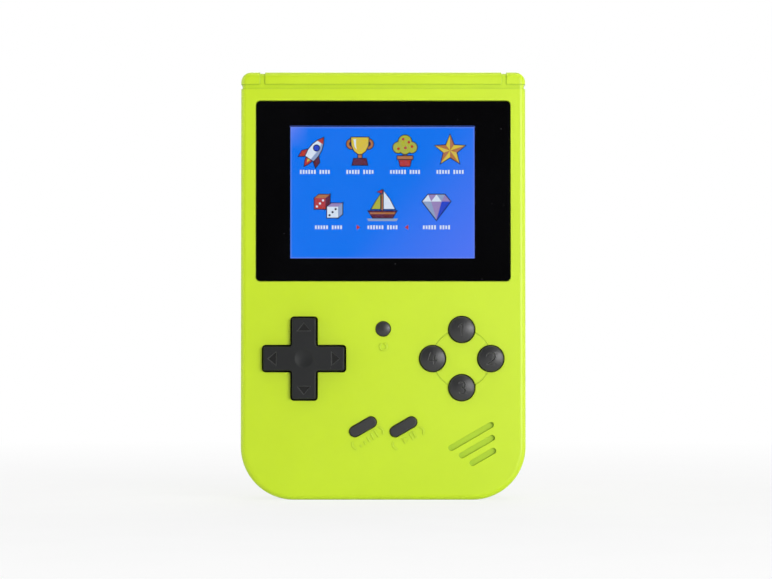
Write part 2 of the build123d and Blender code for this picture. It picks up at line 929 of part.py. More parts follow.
def battery_cover():
    """Flush cover of the battery bay with hooks, spring finger, grip lines and an arrow."""
    cover = slab(cover_outline(0), cover_front, case_depth)
    for x in hook_places():
        cover = cover + cover_hook(x)
    top = cover_low_z + cover_height
    for index in range(cover_grip_count):
        z = top - cover_grip_inset - index * cover_grip_pitch
        line = Pos(0, z) * stadium(cover_grip_length, cover_grip_width)
        cover = cover - slab(line, case_depth - cover_grip_depth, case_depth + overrun)
    arrow_z = top - cover_grip_inset - cover_grip_count * cover_grip_pitch - cover_arrow_size / 2
    arrow = Pos(0, arrow_z) * RegularPolygon(cover_arrow_size / 2, 3, rotation=-quarter_turn)
    cover = cover - slab(arrow, case_depth - cover_grip_depth, case_depth + overrun)
    for side in (-1, 1):
        x = side * (cover_finger_width + cover_slit_width) / 2
        slit = Pos(x, top - cover_slit_length / 2 + cover_slit_width)
        sheet = slit * stadium_up(cover_slit_length + 2 * cover_slit_width, cover_slit_width)
        cover = cover - slab(sheet, cover_front - overrun / 2, case_depth + overrun)
    return cover


# Screws


def screw(radius, length, head_radius, head_height):
    """A cross-head screw in its own frame, its head's seat at zero and its head upwards."""
    body = rod(radius, -length, 0) + rod(head_radius, 0, head_height)
    reach = 2 * head_radius * driver_slot_share
    for turn in (0, quarter_turn):
        blade = Rot(0, 0, turn) * Rectangle(reach, driver_slot_width)
        body = body - extrude(Plane.XY.offset(head_height - driver_slot_depth) * blade, amount=head_height)
    return body


def at_back(x, depth, z):
    """The place of a piece whose own Z points out of the back."""
    return Pos(x, front_y + depth, z) * Rot(-quarter_turn, 0, 0)


def case_screws():
    """The four screws that hold the shells together."""
    size = (case_screw_radius, case_screw_length, case_screw_head_radius, case_screw_head_height)
    return group([at_back(x, case_screw_seat_depth, z) * screw(*size) for x, z in case_screw_places])


def board_screws():
    """The three screws that hold the board to the front shell."""
    size = (board_screw_radius, board_screw_length, board_screw_head_radius, board_screw_head_height)
    return group([at_back(x, board_back, z) * screw(*size) for x, z in board_screw_places])


# Screen and display


def screen_lens():
    """The glossy lens with softened front edges."""
    outline = Pos(0, lens_center_z) * rounded(lens_width, lens_height, lens_corner_radius)
    lens = slab(outline, lens_front, lens_back)
    rim = lens.faces().sort_by(Axis.Y)[0].edges()
    return fillet(rim, lens_edge_radius)


def window_frame(outer_width, outer_height, inner_margin, near, far):
    """A flat frame around the display window."""
    outer = Pos(window_center_x, window_center_z) * Rectangle(outer_width, outer_height)
    inner = rounded(window_width + 2 * inner_margin, window_height + 2 * inner_margin, inner_margin)
    return slab(outer - Pos(window_center_x, window_center_z) * inner, near, far)


def lens_tape():
    """Adhesive frame between the lens and its ledge."""
    outer = Pos(0, lens_center_z) * Rectangle(lens_width - 2 * tape_margin, lens_height - 2 * tape_margin)
    inner_width = window_width + 2 * (window_margin + tape_margin)
    inner_height = window_height + 2 * (window_margin + tape_margin)
    inner = Pos(window_center_x, window_center_z) * Rectangle(inner_width, inner_height)
    return slab(outer - inner, lens_back, ledge_front)


def lcd_gasket():
    """Foam frame between the front wall and the display glass."""
    margin = window_margin + gasket_margin
    width = window_width + 2 * (margin + gasket_rim)
    height = window_height + 2 * (margin + gasket_rim)
    return window_frame(width, height, margin, case_wall, glass_front)


def display_sheet(inset):
    """Outline of the display, drawn in by an inset."""
    place = Pos(window_center_x, window_center_z)
    return place * Rectangle(display_width - 2 * inset, display_height - 2 * inset)


def lcd_glass():
    """The glass sandwich that shows the picture."""
    return slab(display_sheet(display_frame_wall + fit_gap), glass_front, glass_back)


def lcd_backlight():
    """The light guide behind the glass."""
    return slab(display_sheet(display_frame_wall + fit_gap), glass_back, backlight_back)


def lcd_frame():
    """Pressed steel tray around the glass and the light guide."""
    tray = slab(display_sheet(0), glass_front + display_frame_lap, frame_back)
    tray = tray - slab(display_sheet(display_frame_wall), 0, backlight_back)
    low_z = window_center_z - display_height / 2
    gap = Pos(window_center_x, low_z) * Rectangle(ribbon_width + 2 * running_gap, 4 * display_frame_wall)
    return tray - slab(gap, 0, backlight_back)


def lcd_pads():
    """Foam strips that carry the display on the board."""
    strips = []
    for side in (-1, 1):
        place = Pos(window_center_x + side * display_pad_offset, window_center_z)
        strip = place * Rectangle(display_pad_width, display_height - 2 * display_pad_margin)
        strips.append(slab(strip, frame_back, board_depth))
    return group(strips)


def lcd_ribbon():
    """Flat cable from the foot of the glass down to the board's front."""
    start_y = front_y + (glass_front + glass_back) / 2
    end_y = front_y + board_depth - ribbon_thickness / 2
    start_z = window_center_z - display_height / 2 + display_frame_wall + fit_gap
    turn_z = start_z - ribbon_drop
    flat_z = turn_z - ribbon_slope
    points = [
        (window_center_x, start_y, start_z),
        (window_center_x, start_y, turn_z),
        (window_center_x, end_y, flat_z),
        (window_center_x, end_y, flat_z - ribbon_tail),
    ]
    path = FilletPolyline(*points, radius=ribbon_bend_radius)
    section = Plane(origin=points[0], x_dir=(1, 0, 0), z_dir=(0, 0, -1))
    return sweep(section * Rectangle(ribbon_width, ribbon_thickness), path=path)


# Direction pad


def pressed(floor, proud, depth, lean):
    """Cutter for a mark pressed into a key's top: its floor outline, with walls that lean outwards."""
    return extrude(Plane.XY.offset(proud - depth) * floor, amount=2 * depth, taper=-lean)


def pad_arrows():
    """Floors of the triangles pressed into the four arms of the direction pad."""
    arrows = []
    for turn in range(4):
        tip = pad_span / 2 - pad_arrow_inset
        base = tip - pad_arrow_length
        outline = Polyline((base, -pad_arrow_width / 2), (tip, 0), (base, pad_arrow_width / 2), close=True)
        arrows.append(Rot(0, 0, turn * quarter_turn) * make_face(outline))
    return arrows


def d_pad():
    """The cross with its flange, its dished middle and the socket for the pivot ball."""
    cross = cross_profile(pad_span, pad_arm, pad_tip_radius, pad_crook_radius)
    place = Pos(pad_center_x, pad_center_z)
    body = slab(place * cross, -pad_proud, pad_flange_front)
    rim = body.faces().sort_by(Axis.Y)[0].edges()
    body = fillet(rim, pad_edge_radius)
    wide = cross_profile(
        pad_span + 2 * pad_flange_end, pad_arm + 2 * pad_flange_side, pad_tip_radius, pad_crook_radius
    )
    body = body + slab(place * wide, pad_flange_front, pad_flange_back)
    hub = place * Circle(pivot_hub_radius)
    body = body + slab(hub, pad_flange_front, pivot_depth + pivot_hub_lap)
    body = body - Pos(pad_center_x, front_y + pivot_depth, pad_center_z) * Sphere(pivot_radius + fit_gap)
    dish_ball = (pad_dish_radius**2 + pad_dish_depth**2) / (2 * pad_dish_depth)
    dish_y = front_y - pad_proud + pad_dish_depth - dish_ball
    body = body - Pos(pad_center_x, dish_y, pad_center_z) * Sphere(dish_ball)
    for arrow in pad_arrows():
        body = body - at_front(pad_center_x, pad_center_z) * pressed(arrow, pad_proud, pad_arrow_depth, pad_arrow_lean)
    return body


def d_pad_pivot():
    """The ball that the direction pad rocks on."""
    return Pos(pad_center_x, front_y + pivot_depth, pad_center_z) * Sphere(pivot_radius)


def pad_pill_places():
    """Middles of the four conductive pills under the direction pad."""
    places = []
    for turn in range(4):
        x, z = polar(pad_pill_offset, turn * quarter_turn)
        places.append((pad_center_x + x, pad_center_z + z))
    return places


def d_pad_pills():
    """Conductive pills on the underside of the direction pad."""
    end = pad_flange_back + pad_pill_length
    outline = Circle(pad_pill_radius)
    return group([slab(Pos(x, z) * outline, pad_flange_back, end) for x, z in pad_pill_places()])


def d_pad_rubber():
    """Rubber sheet on the board below the direction pad, open around the pills and the ball."""
    sheet = Pos(pad_center_x, pad_center_z) * Circle(pad_pocket_radius)
    sheet = sheet - Pos(pad_center_x, pad_center_z) * Circle(pivot_hub_radius)
    for x, z in pad_pill_places():
        sheet = sheet - Pos(x, z) * Circle(pad_pill_radius + rubber_gap)
    return slab(sheet, rubber_front, board_depth)


# Keys that travel straight in


def domed_key(radius, proud, crown, rim_radius, flange_radius):
    """A round key in its own frame: crowned top, shank and flange."""
    ball = (radius**2 + crown**2) / (2 * crown)
    shank = rod(radius, -key_flange_back, proud) & (Pos(0, 0, proud - ball) * Sphere(ball))
    rims = [edge for edge in shank.edges() if edge.is_closed]
    shank = fillet(ShapeList(rims).sort_by(Axis.Z)[-1], rim_radius)
    return shank + rod(flange_radius, -key_flange_back, -key_flange_front)


def numeral(name):
    """Floor of a plain number for each face key, drawn with round-ended strokes."""
    half_w = numeral_width / 2
    half_h = numeral_height / 2
    if name == "top":
        flag = (-half_w * one_flag_width_share, half_h * one_flag_height_share)
        return [
            stroke((0, -half_h), (0, half_h), numeral_pen),
            stroke((0, half_h), flag, numeral_pen),
        ]
    if name == "right":
        end = polar(half_w, -two_lean_angle)
        sweep_angle = half_turn + two_lean_angle - two_hook_angle
        corner = (-half_w, -half_h)
        crest = half_h - half_w
        return [
            bow((0, crest), half_w, -two_lean_angle, sweep_angle, numeral_pen),
            stroke((end[0], crest + end[1]), corner, numeral_pen),
            stroke(corner, (half_w, -half_h), numeral_pen),
        ]
    if name == "bottom":
        radius = half_h / 2
        return [
            bow((0, radius), radius, -quarter_turn, three_bowl_angle, numeral_pen),
            bow((0, -radius), radius, -three_low_start_angle, three_bowl_angle, numeral_pen),
        ]
    stem = half_w * four_stem_share
    bar = -half_h * four_bar_share
    return [
        stroke((stem, -half_h), (stem, half_h * four_top_share), numeral_pen),
        stroke((-half_w * four_top_share, half_h), (-half_w, bar), numeral_pen),
        stroke((-half_w, bar), (half_w, bar), numeral_pen),
    ]


def face_key(name, angle):
    """One face key with its number and the lug that keeps it upright."""
    key = domed_key(key_radius, key_proud, key_crown, key_rim_radius, key_flange_radius)
    for line in numeral(name):
        key = key - pressed(line, key_proud, numeral_depth, numeral_lean)
    reach = key_flange_radius + key_lug_length
    lug = Rot(0, 0, angle) * Pos(reach / 2, 0) * Rectangle(reach, key_lug_width)
    key = key + extrude(Plane.XY.offset(-key_flange_back) * lug, amount=key_flange_thickness)
    return at_front(*key_place(angle)) * key


def reset_button():
    """The small round key."""
    key = domed_key(reset_radius, small_key_proud, reset_crown, reset_rim_radius, reset_flange_radius)
    return at_front(reset_x, reset_z) * key


def menu_button(x):
    """A slanted pill key with a flat top."""
    place = Pos(x, menu_key_z) * Rot(0, 0, menu_key_angle)
    key = slab(place * stadium(menu_key_length, menu_key_width), -small_key_proud, key_flange_back)
    rim = key.faces().sort_by(Axis.Y)[0].edges()
    key = fillet(rim, menu_key_edge_radius)
    wide = stadium(menu_key_length + 2 * menu_key_flange, menu_key_width + 2 * menu_key_flange)
    return key + slab(place * wide, key_flange_front, key_flange_back)


def key_pill(x, z, radius, travel):
    """Conductive pill that ends just short of the board at the end of the key's travel."""
    return slab(Pos(x, z) * Circle(radius), key_flange_back, board_depth - travel - pill_rest_gap)


def rubber_sheet(outline, places, pill_radius):
    """Rubber sheet on the board with a raised skirt around each pill."""
    hole = pill_radius + rubber_gap
    sheet = slab(outline, rubber_front, board_depth)
    for x, z in places:
        sheet = sheet + slab(Pos(x, z) * Circle(hole + rubber_skirt_thickness), skirt_front, board_depth)
    for x, z in places:
        sheet = sheet - slab(Pos(x, z) * Circle(hole), 0, case_depth)
    return sheet


def action_rubber():
    """Rubber sheet below the four face keys."""
    outline = Pos(key_center_x, key_center_z) * Circle(key_offset + key_flange_radius + key_lug_length)
    return rubber_sheet(outline, [key_place(angle) for angle in face_keys.values()], key_pill_radius)


def reset_rubber():
    """Rubber sheet below the reset key."""
    outline = Pos(reset_x, reset_z) * Circle(reset_flange_radius + rubber_skirt_thickness)
    return rubber_sheet(outline, [(reset_x, reset_z)], small_pill_radius)


def menu_rubber():
    """Rubber sheet below the sound and start keys."""
    width = 2 * (menu_key_offset + small_pill_radius + menu_rubber_margin)
    height = 2 * (small_pill_radius + menu_rubber_margin)
    outline = Pos(0, menu_key_z) * rounded(width, height, rubber_skirt_thickness)
    return rubber_sheet(outline, [(x, menu_key_z) for x in menu_keys.values()], small_pill_radius)


# Main board and what is soldered to it


def main_board():
    """The board, cut around the case bosses and drilled for its screws."""
    low = Pos(0, board_top / 2) * Rectangle(case_width, board_top)
    sheet = case_profile(case_wall + board_gap) & low
    for x, z in case_screw_places:
        sheet = sheet - Pos(x, z) * Circle(case_boss_radius + running_gap)
    for x, z in board_screw_places:
        sheet = sheet - Pos(x, z) * Circle(board_hole_radius)
    return slab(sheet, board_depth, board_back)


def board_places(shares):
    """Places on the board, from shares of its width and of its top's height."""
    return [(x_share * board_width, z_share * board_top) for x_share, z_share in shares]


def game_chip():
    """Flat dome of black resin over the game chip."""
    ball = (resin_radius**2 + resin_height**2) / (2 * resin_height)
    middle = front_y + board_back + resin_height - ball
    dome = Pos(0, middle, resin_place_share * board_top) * Sphere(ball)
    return dome & half_space(board_back, case_depth)


def memory_chip():
    """Flat chip with a row of leads, drawn as one strip, along each end."""
    place = Pos(*board_places([memory_place_shares])[0])
    body = slab(place * Rectangle(memory_width, memory_height), board_back, board_back + memory_thickness)
    leads = place * Rectangle(memory_width + 2 * memory_lead, memory_height - memory_lead)
    return body + slab(leads, board_back, board_back + memory_lead_thickness)


def small_chips():
    """Sound amplifier, charger and driver chips."""
    outline = Rectangle(small_chip_width, small_chip_height)
    end = board_back + small_chip_thickness
    return group([slab(Pos(x, z) * outline, board_back, end) for x, z in board_places(small_chip_place_shares)])


def crystal():
    """Metal can of the clock crystal."""
    outline = Pos(*board_places([crystal_place_shares])[0]) * stadium(crystal_length, crystal_width)
    return slab(outline, board_back, board_back + crystal_height)


def capacitors():
    """Round cans on square feet."""
    cans = []
    for x, z in board_places(capacitor_place_shares):
        foot = Pos(x, z) * Rectangle(2 * capacitor_radius, 2 * capacitor_radius)
        can = slab(foot, board_back, board_back + capacitor_base_height)
        top = board_back + capacitor_height
        cans.append(can + slab(Pos(x, z) * Circle(capacitor_radius), board_back, top))
    return group(cans)


def smd_parts():
    """Rows of small resistors and capacitors."""
    blocks = []
    outline = Rectangle(chip_part_width, chip_part_length)
    for x, z in board_places(chip_part_place_shares):
        for index in range(chip_part_count):
            place = Pos(x + index * chip_part_pitch, z)
            blocks.append(slab(place * outline, board_back, board_back + chip_part_height))
    return group(blocks)


def charge_port():
    """Steel receptacle with its tongue, open downwards."""
    place = Pos(port_x, front_y + port_depth)
    high = port_setback + port_length
    shell = upright(place * Rectangle(port_width, port_height), port_setback, high)
    keyed = shell.edges().filter_by(Axis.Z).sort_by(Axis.Y)[-2:]
    shell = chamfer(keyed, port_corner)
    inner_width = port_width - 2 * port_shell
    inner_height = port_height - 2 * port_shell
    hollow = upright(place * Rectangle(inner_width, inner_height), port_setback - overrun, high - port_shell)
    inner_edges = hollow.edges().filter_by(Axis.Z).sort_by(Axis.Y)[-2:]
    shell = shell - chamfer(inner_edges, port_corner)
    tongue = place * Rectangle(port_tongue_width, port_tongue_height)
    return shell + upright(tongue, port_setback + port_tongue_setback, high - port_shell / 2)


def av_jack():
    """Round audio-video jack: body on the board, nose in the base wall."""
    place = Pos(jack_x, front_y + jack_depth)
    body = upright(place * Rectangle(jack_width, jack_height), jack_low_z, jack_low_z + jack_length)
    nose = upright(place * Circle(jack_nose_radius), jack_nose_setback, jack_low_z + fit_gap)
    bore = upright(place * Circle(jack_bore_radius), -overrun, jack_nose_setback + jack_bore_length)
    return body + nose - bore


# Power switch


def switch_box(width_y, length_z, left, right, shift_z):
    """A block of the power switch between two places along X."""
    sheet = Pos(front_y + switch_depth, switch_z + shift_z) * Rectangle(width_y, length_z)
    return sideways(sheet, left, right)


def power_switch_body():
    """Metal can of the slide switch with the window its lever moves in."""
    shift = -switch_travel / 2
    left = switch_face_x - switch_body_width
    can = switch_box(switch_body_height, switch_body_length, left, switch_face_x, shift)
    window_z = lever_width + switch_travel + 2 * running_gap
    window_y = lever_width + 2 * fit_gap
    return can - switch_box(window_y, window_z, switch_face_x - switch_window_depth, side_x, shift)


def power_switch_lever():
    """The switch's own lever, which the knob sits on."""
    left = switch_face_x - switch_window_depth + fit_gap
    return switch_box(lever_width, lever_width, left, switch_face_x + lever_reach, 0)


def power_knob():
    """Outside knob with grip ribs, held in by a plate behind the wall."""
    knob = switch_box(knob_width, knob_length, knob_plate_x, knob_tip_x, 0)
    tip = knob.faces().sort_by(Axis.X)[-1].edges()
    knob = fillet(tip, knob_edge_radius)
    inner_x = knob_plate_x + knob_plate_thickness
    knob = knob + switch_box(knob_plate_width, knob_plate_length, knob_plate_x, inner_x, 0)
    pitch = knob_length / (knob_rib_count + 1)
    for index in range(knob_rib_count):
        shift = (index - (knob_rib_count - 1) / 2) * pitch
        knob = knob - switch_box(knob_width, knob_rib_width, knob_tip_x - knob_rib_depth, side_x, shift)
    socket = lever_width + 2 * thread_gap
    end = switch_face_x + lever_reach + thread_gap
    return knob - switch_box(socket, socket, knob_plate_x - overrun, end, 0)


# Speaker


def speaker_turned(points):
    """A ring shape turned about the speaker's axis from points of radius and depth."""
    face = make_face(Polyline(*points, close=True))
    turned = revolve(Plane.XZ * face, axis=Axis.Z)
    return Pos(speaker_x, front_y, speaker_z) * Rot(-quarter_turn, 0, 0) * turned


def speaker_frame():
    """Round basket, open to the back, with a step that carries the cone's rim."""
    inner = speaker_radius - speaker_wall
    seat = speaker_back - cone_thickness
    return speaker_turned([
        (0, speaker_front),
        (speaker_radius, speaker_front),
        (speaker_radius, speaker_back),
        (inner, speaker_back),
        (inner, seat),
        (inner - speaker_step, seat),
        (inner - speaker_step, speaker_front + speaker_floor),
        (0, speaker_front + speaker_floor),
    ])


def speaker_magnet():
    """Magnet pot on the front of the basket."""
    place = Pos(speaker_x, speaker_z) * Circle(speaker_magnet_radius)
    return slab(place, speaker_front - speaker_magnet_height, speaker_front)


def speaker_cone():
    """Thin diaphragm: flat rim on the step, cone, flat middle."""
    outer = speaker_radius - speaker_wall - fit_gap
    neck = speaker_radius - speaker_wall - speaker_step - fit_gap
    rim_front = speaker_back - cone_thickness
    low = rim_front - cone_depth
    return speaker_turned([
        (0, low),
        (cone_coil_radius, low),
        (neck, rim_front),
        (outer, rim_front),
        (outer, speaker_back),
        (neck - cone_rim, speaker_back),
        (cone_coil_radius - cone_rim, low + cone_thickness),
        (0, low + cone_thickness),
    ])


def speaker_gasket():
    """Foam ring between the speaker and the back wall."""
    ring = Circle(speaker_radius) - Circle(speaker_radius - speaker_gasket_width)
    return slab(Pos(speaker_x, speaker_z) * ring, speaker_back, case_depth - case_wall)


# Battery


def battery():
    """Flat rechargeable pack with round edges and recessed terminals."""
    outline = Pos(0, battery_low_z + battery_height / 2) * Rectangle(battery_width, battery_height)
    pack = slab(outline, battery_front, battery_back)
    pack = fillet(pack.edges().filter_by(Axis.Z), battery_thickness * battery_corner_share)
    return pack - union(terminal_blocks(0))


def terminal_places():
    """Middles of the battery terminals along X."""
    return [(index - (terminal_count - 1) / 2) * terminal_pitch for index in range(terminal_count)]


def terminal_blocks(setback):
    """The terminals' places in the top end of the battery, let in by a setback."""
    middle_y = front_y + (battery_front + battery_back) / 2
    high = battery_high_z - setback
    blocks = []
    for x in terminal_places():
        sheet = Pos(x, middle_y) * Rectangle(terminal_width, terminal_height)
        blocks.append(upright(sheet, battery_high_z - 2 * terminal_thickness, high))
    return blocks


def battery_terminals():
    """Gilt plates let into the battery's top end."""
    return group(terminal_blocks(terminal_thickness))


def contact_block():
    """Plastic block that carries the contact springs, in the bay's upper wall."""
    middle_y = front_y + (battery_front + battery_back) / 2
    sheet = Pos(0, middle_y) * Rectangle(contact_block_width, contact_block_depth)
    return upright(sheet, bay_high_z, bay_high_z + contact_block_height)


def battery_contacts():
    """Bowed springs that press on the battery terminals."""
    low = battery_high_z - terminal_thickness + thread_gap
    rise = bay_high_z - low
    middle_y = front_y + (battery_front + battery_back) / 2
    springs = []
    for x in terminal_places():
        points = [
            (x, middle_y - contact_bow, bay_high_z),
            (x, middle_y - contact_bow, bay_high_z - rise / 4),
            (x, middle_y + contact_bow, low + contact_thickness / 2),
            (x, middle_y - contact_bow, low + contact_thickness / 2),
        ]
        path = Polyline(*points)
        section = Plane(origin=points[0], x_dir=(1, 0, 0), z_dir=(0, 0, -1))
        blade = section * Rectangle(contact_width, contact_thickness)
        springs.append(sweep(blade, path=path, transition=Transition.RIGHT))
    return group(springs)


# Wires


def wire(points):
    """A round wire along straight runs with bent corners."""
    path = FilletPolyline(*points, radius=wire_bend_radius)
    start = Vector(*points[0])
    section = Plane(origin=start, z_dir=Vector(*points[1]) - start)
    return sweep(section * Circle(wire_radius), path=path)


def battery_wires():
    """Two wires from the contact block forward to the board."""
    middle = (battery_front + battery_back) / 2
    block_y = front_y + middle - contact_block_depth / 2
    board_y = front_y + board_back
    turn_y = (block_y + board_y) / 2
    z = bay_high_z + bay_wall + running_gap + wire_radius
    wires = []
    for index in range(wire_count):
        x = (index - (wire_count - 1) / 2) * wire_pitch
        wires.append(wire([
            (x, block_y, z),
            (x, turn_y, z),
            (x, turn_y, z + battery_wire_shift),
            (x, board_y, z + battery_wire_shift),
        ]))
    return group(wires)


def speaker_wires():
    """Two wires from the speaker's basket forward to the board."""
    frame_y = front_y + speaker_front
    board_y = front_y + board_back
    turn_y = (frame_y + board_y) / 2
    wires = []
    for index in range(wire_count):
        z = speaker_z + (index - (wire_count - 1) / 2) * wire_pitch
        start_x = speaker_x - speaker_radius + speaker_wire_exit
        wires.append(wire([
            (start_x, frame_y, z),
            (start_x, turn_y, z),
            (start_x - speaker_wire_drop_x, turn_y, z),
            (start_x - speaker_wire_drop_x, board_y, z),
        ]))
    return group(wires)


# Every node of the console


def all_parts():
    """Each piece under its node name."""
    skin = case_skin()
    parts = {
        "front_shell": front_shell(skin),
        "rear_shell": rear_shell(skin),
        "battery_cover": battery_cover(),
        "case_screws": case_screws(),
        "screen_lens": screen_lens(),
        "lens_tape": lens_tape(),
        "lcd_gasket": lcd_gasket(),
        "lcd_glass": lcd_glass(),
        "lcd_backlight": lcd_backlight(),
        "lcd_frame": lcd_frame(),
        "lcd_pads": lcd_pads(),
        "lcd_ribbon": lcd_ribbon(),
        "d_pad": d_pad(),
        "d_pad_pivot": d_pad_pivot(),
        "d_pad_pills": d_pad_pills(),
        "d_pad_rubber": d_pad_rubber(),
        "action_rubber": action_rubber(),
        "reset_button": reset_button(),
        "reset_pill": key_pill(reset_x, reset_z, small_pill_radius, small_key_travel),
        "reset_rubber": reset_rubber(),
        "menu_rubber": menu_rubber(),
        "main_board": main_board(),
        "board_screws": board_screws(),
        "game_chip": game_chip(),
        "memory_chip": memory_chip(),
        "small_chips": small_chips(),
        "crystal": crystal(),
        "capacitors": capacitors(),
        "smd_parts": smd_parts(),
        "charge_port": charge_port(),
        "av_jack": av_jack(),
        "power_switch_body": power_switch_body(),
        "power_switch_lever": power_switch_lever(),
        "power_knob": power_knob(),
        "speaker_frame": speaker_frame(),
        "speaker_magnet": speaker_magnet(),
        "speaker_cone": speaker_cone(),
        "speaker_gasket": speaker_gasket(),
        "speaker_wires": speaker_wires(),
        "battery": battery(),
        "battery_terminals": battery_terminals(),
        "contact_block": contact_block(),
        "battery_contacts": battery_contacts(),
        "battery_wires": battery_wires(),
    }
    for name, angle in face_keys.items():
        parts["button_" + name] = face_key(name, angle)
        parts["button_" + name + "_pill"] = key_pill(*key_place(angle), key_pill_radius, key_travel)
    for name, x in menu_keys.items():
        parts[name + "_button"] = menu_button(x)
        parts[name + "_pill"] = key_pill(x, menu_key_z, small_pill_radius, small_key_travel)
    return parts


os.makedirs("parts", exist_ok=True)
for node, shape in all_parts().items():
    export_step(shape, "parts/" + node + ".step")
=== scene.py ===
"""Looks of a handheld game console: finishes, the lit picture, the window, light and camera.

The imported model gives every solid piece. This script dresses them, swaps the screen
lens for a printed rim and a clear pane, draws the lit menu and sets up a plain studio.
All lengths are metres unless a name ends in _mm.
"""

import logging
import math
import random
from dataclasses import dataclass, field
from enum import Enum
from typing import Any, Iterable, Sequence

import bmesh
import bpy
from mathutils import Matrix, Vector


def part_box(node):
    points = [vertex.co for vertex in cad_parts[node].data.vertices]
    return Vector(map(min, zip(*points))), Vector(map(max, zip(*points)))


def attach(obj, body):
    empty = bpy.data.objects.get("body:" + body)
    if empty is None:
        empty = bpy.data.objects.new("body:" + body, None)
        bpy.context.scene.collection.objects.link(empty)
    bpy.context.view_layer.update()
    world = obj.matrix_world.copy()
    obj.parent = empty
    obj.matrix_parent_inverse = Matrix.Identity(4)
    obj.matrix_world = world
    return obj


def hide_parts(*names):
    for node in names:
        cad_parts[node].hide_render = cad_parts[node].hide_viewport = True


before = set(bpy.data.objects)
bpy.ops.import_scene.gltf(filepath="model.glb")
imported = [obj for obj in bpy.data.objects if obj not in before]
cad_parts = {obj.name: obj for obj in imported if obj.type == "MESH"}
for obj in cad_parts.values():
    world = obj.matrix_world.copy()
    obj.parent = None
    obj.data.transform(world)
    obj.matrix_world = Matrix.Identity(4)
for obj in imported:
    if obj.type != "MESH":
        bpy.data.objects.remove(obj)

LOG = logging.getLogger("console")
MM = 0.001
NOISE_SPAN = (0.3, 0.7)
WHITE = (1.0, 1.0, 1.0, 1.0)
BLACK = (0.0, 0.0, 0.0, 1.0)
UNLIT = (0.001, 0.001, 0.0015, 1.0)

Colour = tuple[float, float, float, float]
Point = tuple[float, float]
Triple = tuple[float, float, float]
Socket = bpy.types.NodeSocket
Node = bpy.types.Node
Material = bpy.types.Material
Mesh = bpy.types.Mesh
Piece = bpy.types.Object
Shape = bmesh.types.BMesh
Ring = list[bmesh.types.BMVert]


def srgb(red: int, green: int, blue: int) -> Colour:
    """Turns a screen colour into the linear colour that shaders use.

    Args:
        red: Red from 0 to 255.
        green: Green from 0 to 255.
        blue: Blue from 0 to 255.

    Returns:
        The linear colour with full alpha.
    """

    def linear(value: int) -> float:
        """Undoes the screen's curve for one channel."""
        share = value / 255
        return share / 12.92 if share <= 0.04045 else ((share + 0.055) / 1.055) ** 2.4

    return (linear(red), linear(green), linear(blue), 1.0)


# Node helpers


class Desk:
    """Adds nodes to one node tree and joins them."""

    def __init__(self, tree: bpy.types.NodeTree) -> None:
        """Keeps the tree that the nodes go into."""
        self.tree = tree

    @classmethod
    def cleared(cls, owner: Material | bpy.types.World) -> "Desk":
        """Starts on the bare tree of a material or a world.

        Args:
            owner: The new material or world.

        Returns:
            The desk of its tree.
        """
        owner.use_nodes = True
        owner.node_tree.nodes.clear()
        return cls(owner.node_tree)

    def add(self, kind: str, inputs: dict[Any, Any] | None = None, **settings: Any) -> Node:
        """Adds one node.

        Args:
            kind: The node's type name.
            inputs: Socket name or index to a value, or to the socket that feeds it.
            settings: Properties of the node itself.

        Returns:
            The new node.
        """
        node = self.tree.nodes.new(kind)
        for key, value in settings.items():
            setattr(node, key, value)
        for key, value in (inputs or {}).items():
            if isinstance(value, Socket):
                self.tree.links.new(value, node.inputs[key])
            else:
                node.inputs[key].default_value = value
        return node

    def math(self, operation: str, first: Any, second: Any = 0.0, clamp: bool = False) -> Socket:
        """Returns the result of one sum of two numbers or sockets."""
        inputs = {0: first, 1: second}
        return self.add("ShaderNodeMath", inputs, operation=operation, use_clamp=clamp).outputs[0]

    def mix_colour(self, factor: Any, first: Any, second: Any) -> Socket:
        """Returns the blend of two colours by a factor."""
        return self.add("ShaderNodeMix", {0: factor, 6: first, 7: second}, data_type="RGBA").outputs[2]

    def grey(self, tone: Any) -> Socket:
        """Returns the grey of one tone."""
        return self.add("ShaderNodeCombineColor", {0: tone, 1: tone, 2: tone}).outputs[0]

    def span(self, value: Any, low: Any, high: Any, to_low: Any, to_high: Any) -> Socket:
        """Returns a value carried from one range to another, held at its ends."""
        inputs = {0: value, 1: low, 2: high, 3: to_low, 4: to_high}
        return self.add("ShaderNodeMapRange", inputs, clamp=True).outputs[0]

    def place_mm(self) -> Socket:
        """Returns the place on the piece in millimetres."""
        place = self.add("ShaderNodeTexCoord").outputs["Object"]
        return self.add("ShaderNodeVectorMath", {0: place, "Scale": 1 / MM}, operation="SCALE").outputs[0]

    def noise(self, place: Any, scale: Any, detail: float, rough: float = 0.5) -> Socket:
        """Returns soft noise from 0 to 1."""
        inputs = {"Vector": place, "Scale": scale, "Detail": detail, "Roughness": rough}
        return self.add("ShaderNodeTexNoise", inputs).outputs[0]

    def cloud(
        self, place: Any, scale: Any, detail: float, low: Any, high: Any, within: Point = NOISE_SPAN
    ) -> Socket:
        """Returns soft noise, carried from where it mostly lies to a range."""
        return self.span(self.noise(place, scale, detail), *within, low, high)

    def bump(self, height: Socket, depth_mm: float, strength: float = 1.0, **more: Socket) -> Socket:
        """Returns the normal of a surface that a height raises."""
        inputs = {"Height": height, "Distance": depth_mm * MM, "Strength": strength, **more}
        return self.add("ShaderNodeBump", inputs).outputs[0]


class Effect(Enum):
    """Shared surface effects, each one shader node group."""

    SKIN = "moulded_skin"
    DRIFT = "colour_drift"
    WEAR = "edge_wear"
    DUST = "fine_dust"
    BRUSH = "brushed_lines"
    SMUDGE = "finger_smudge"
    SUNK = "sunk_floor"
    HOLLOW = "hollow_shade"


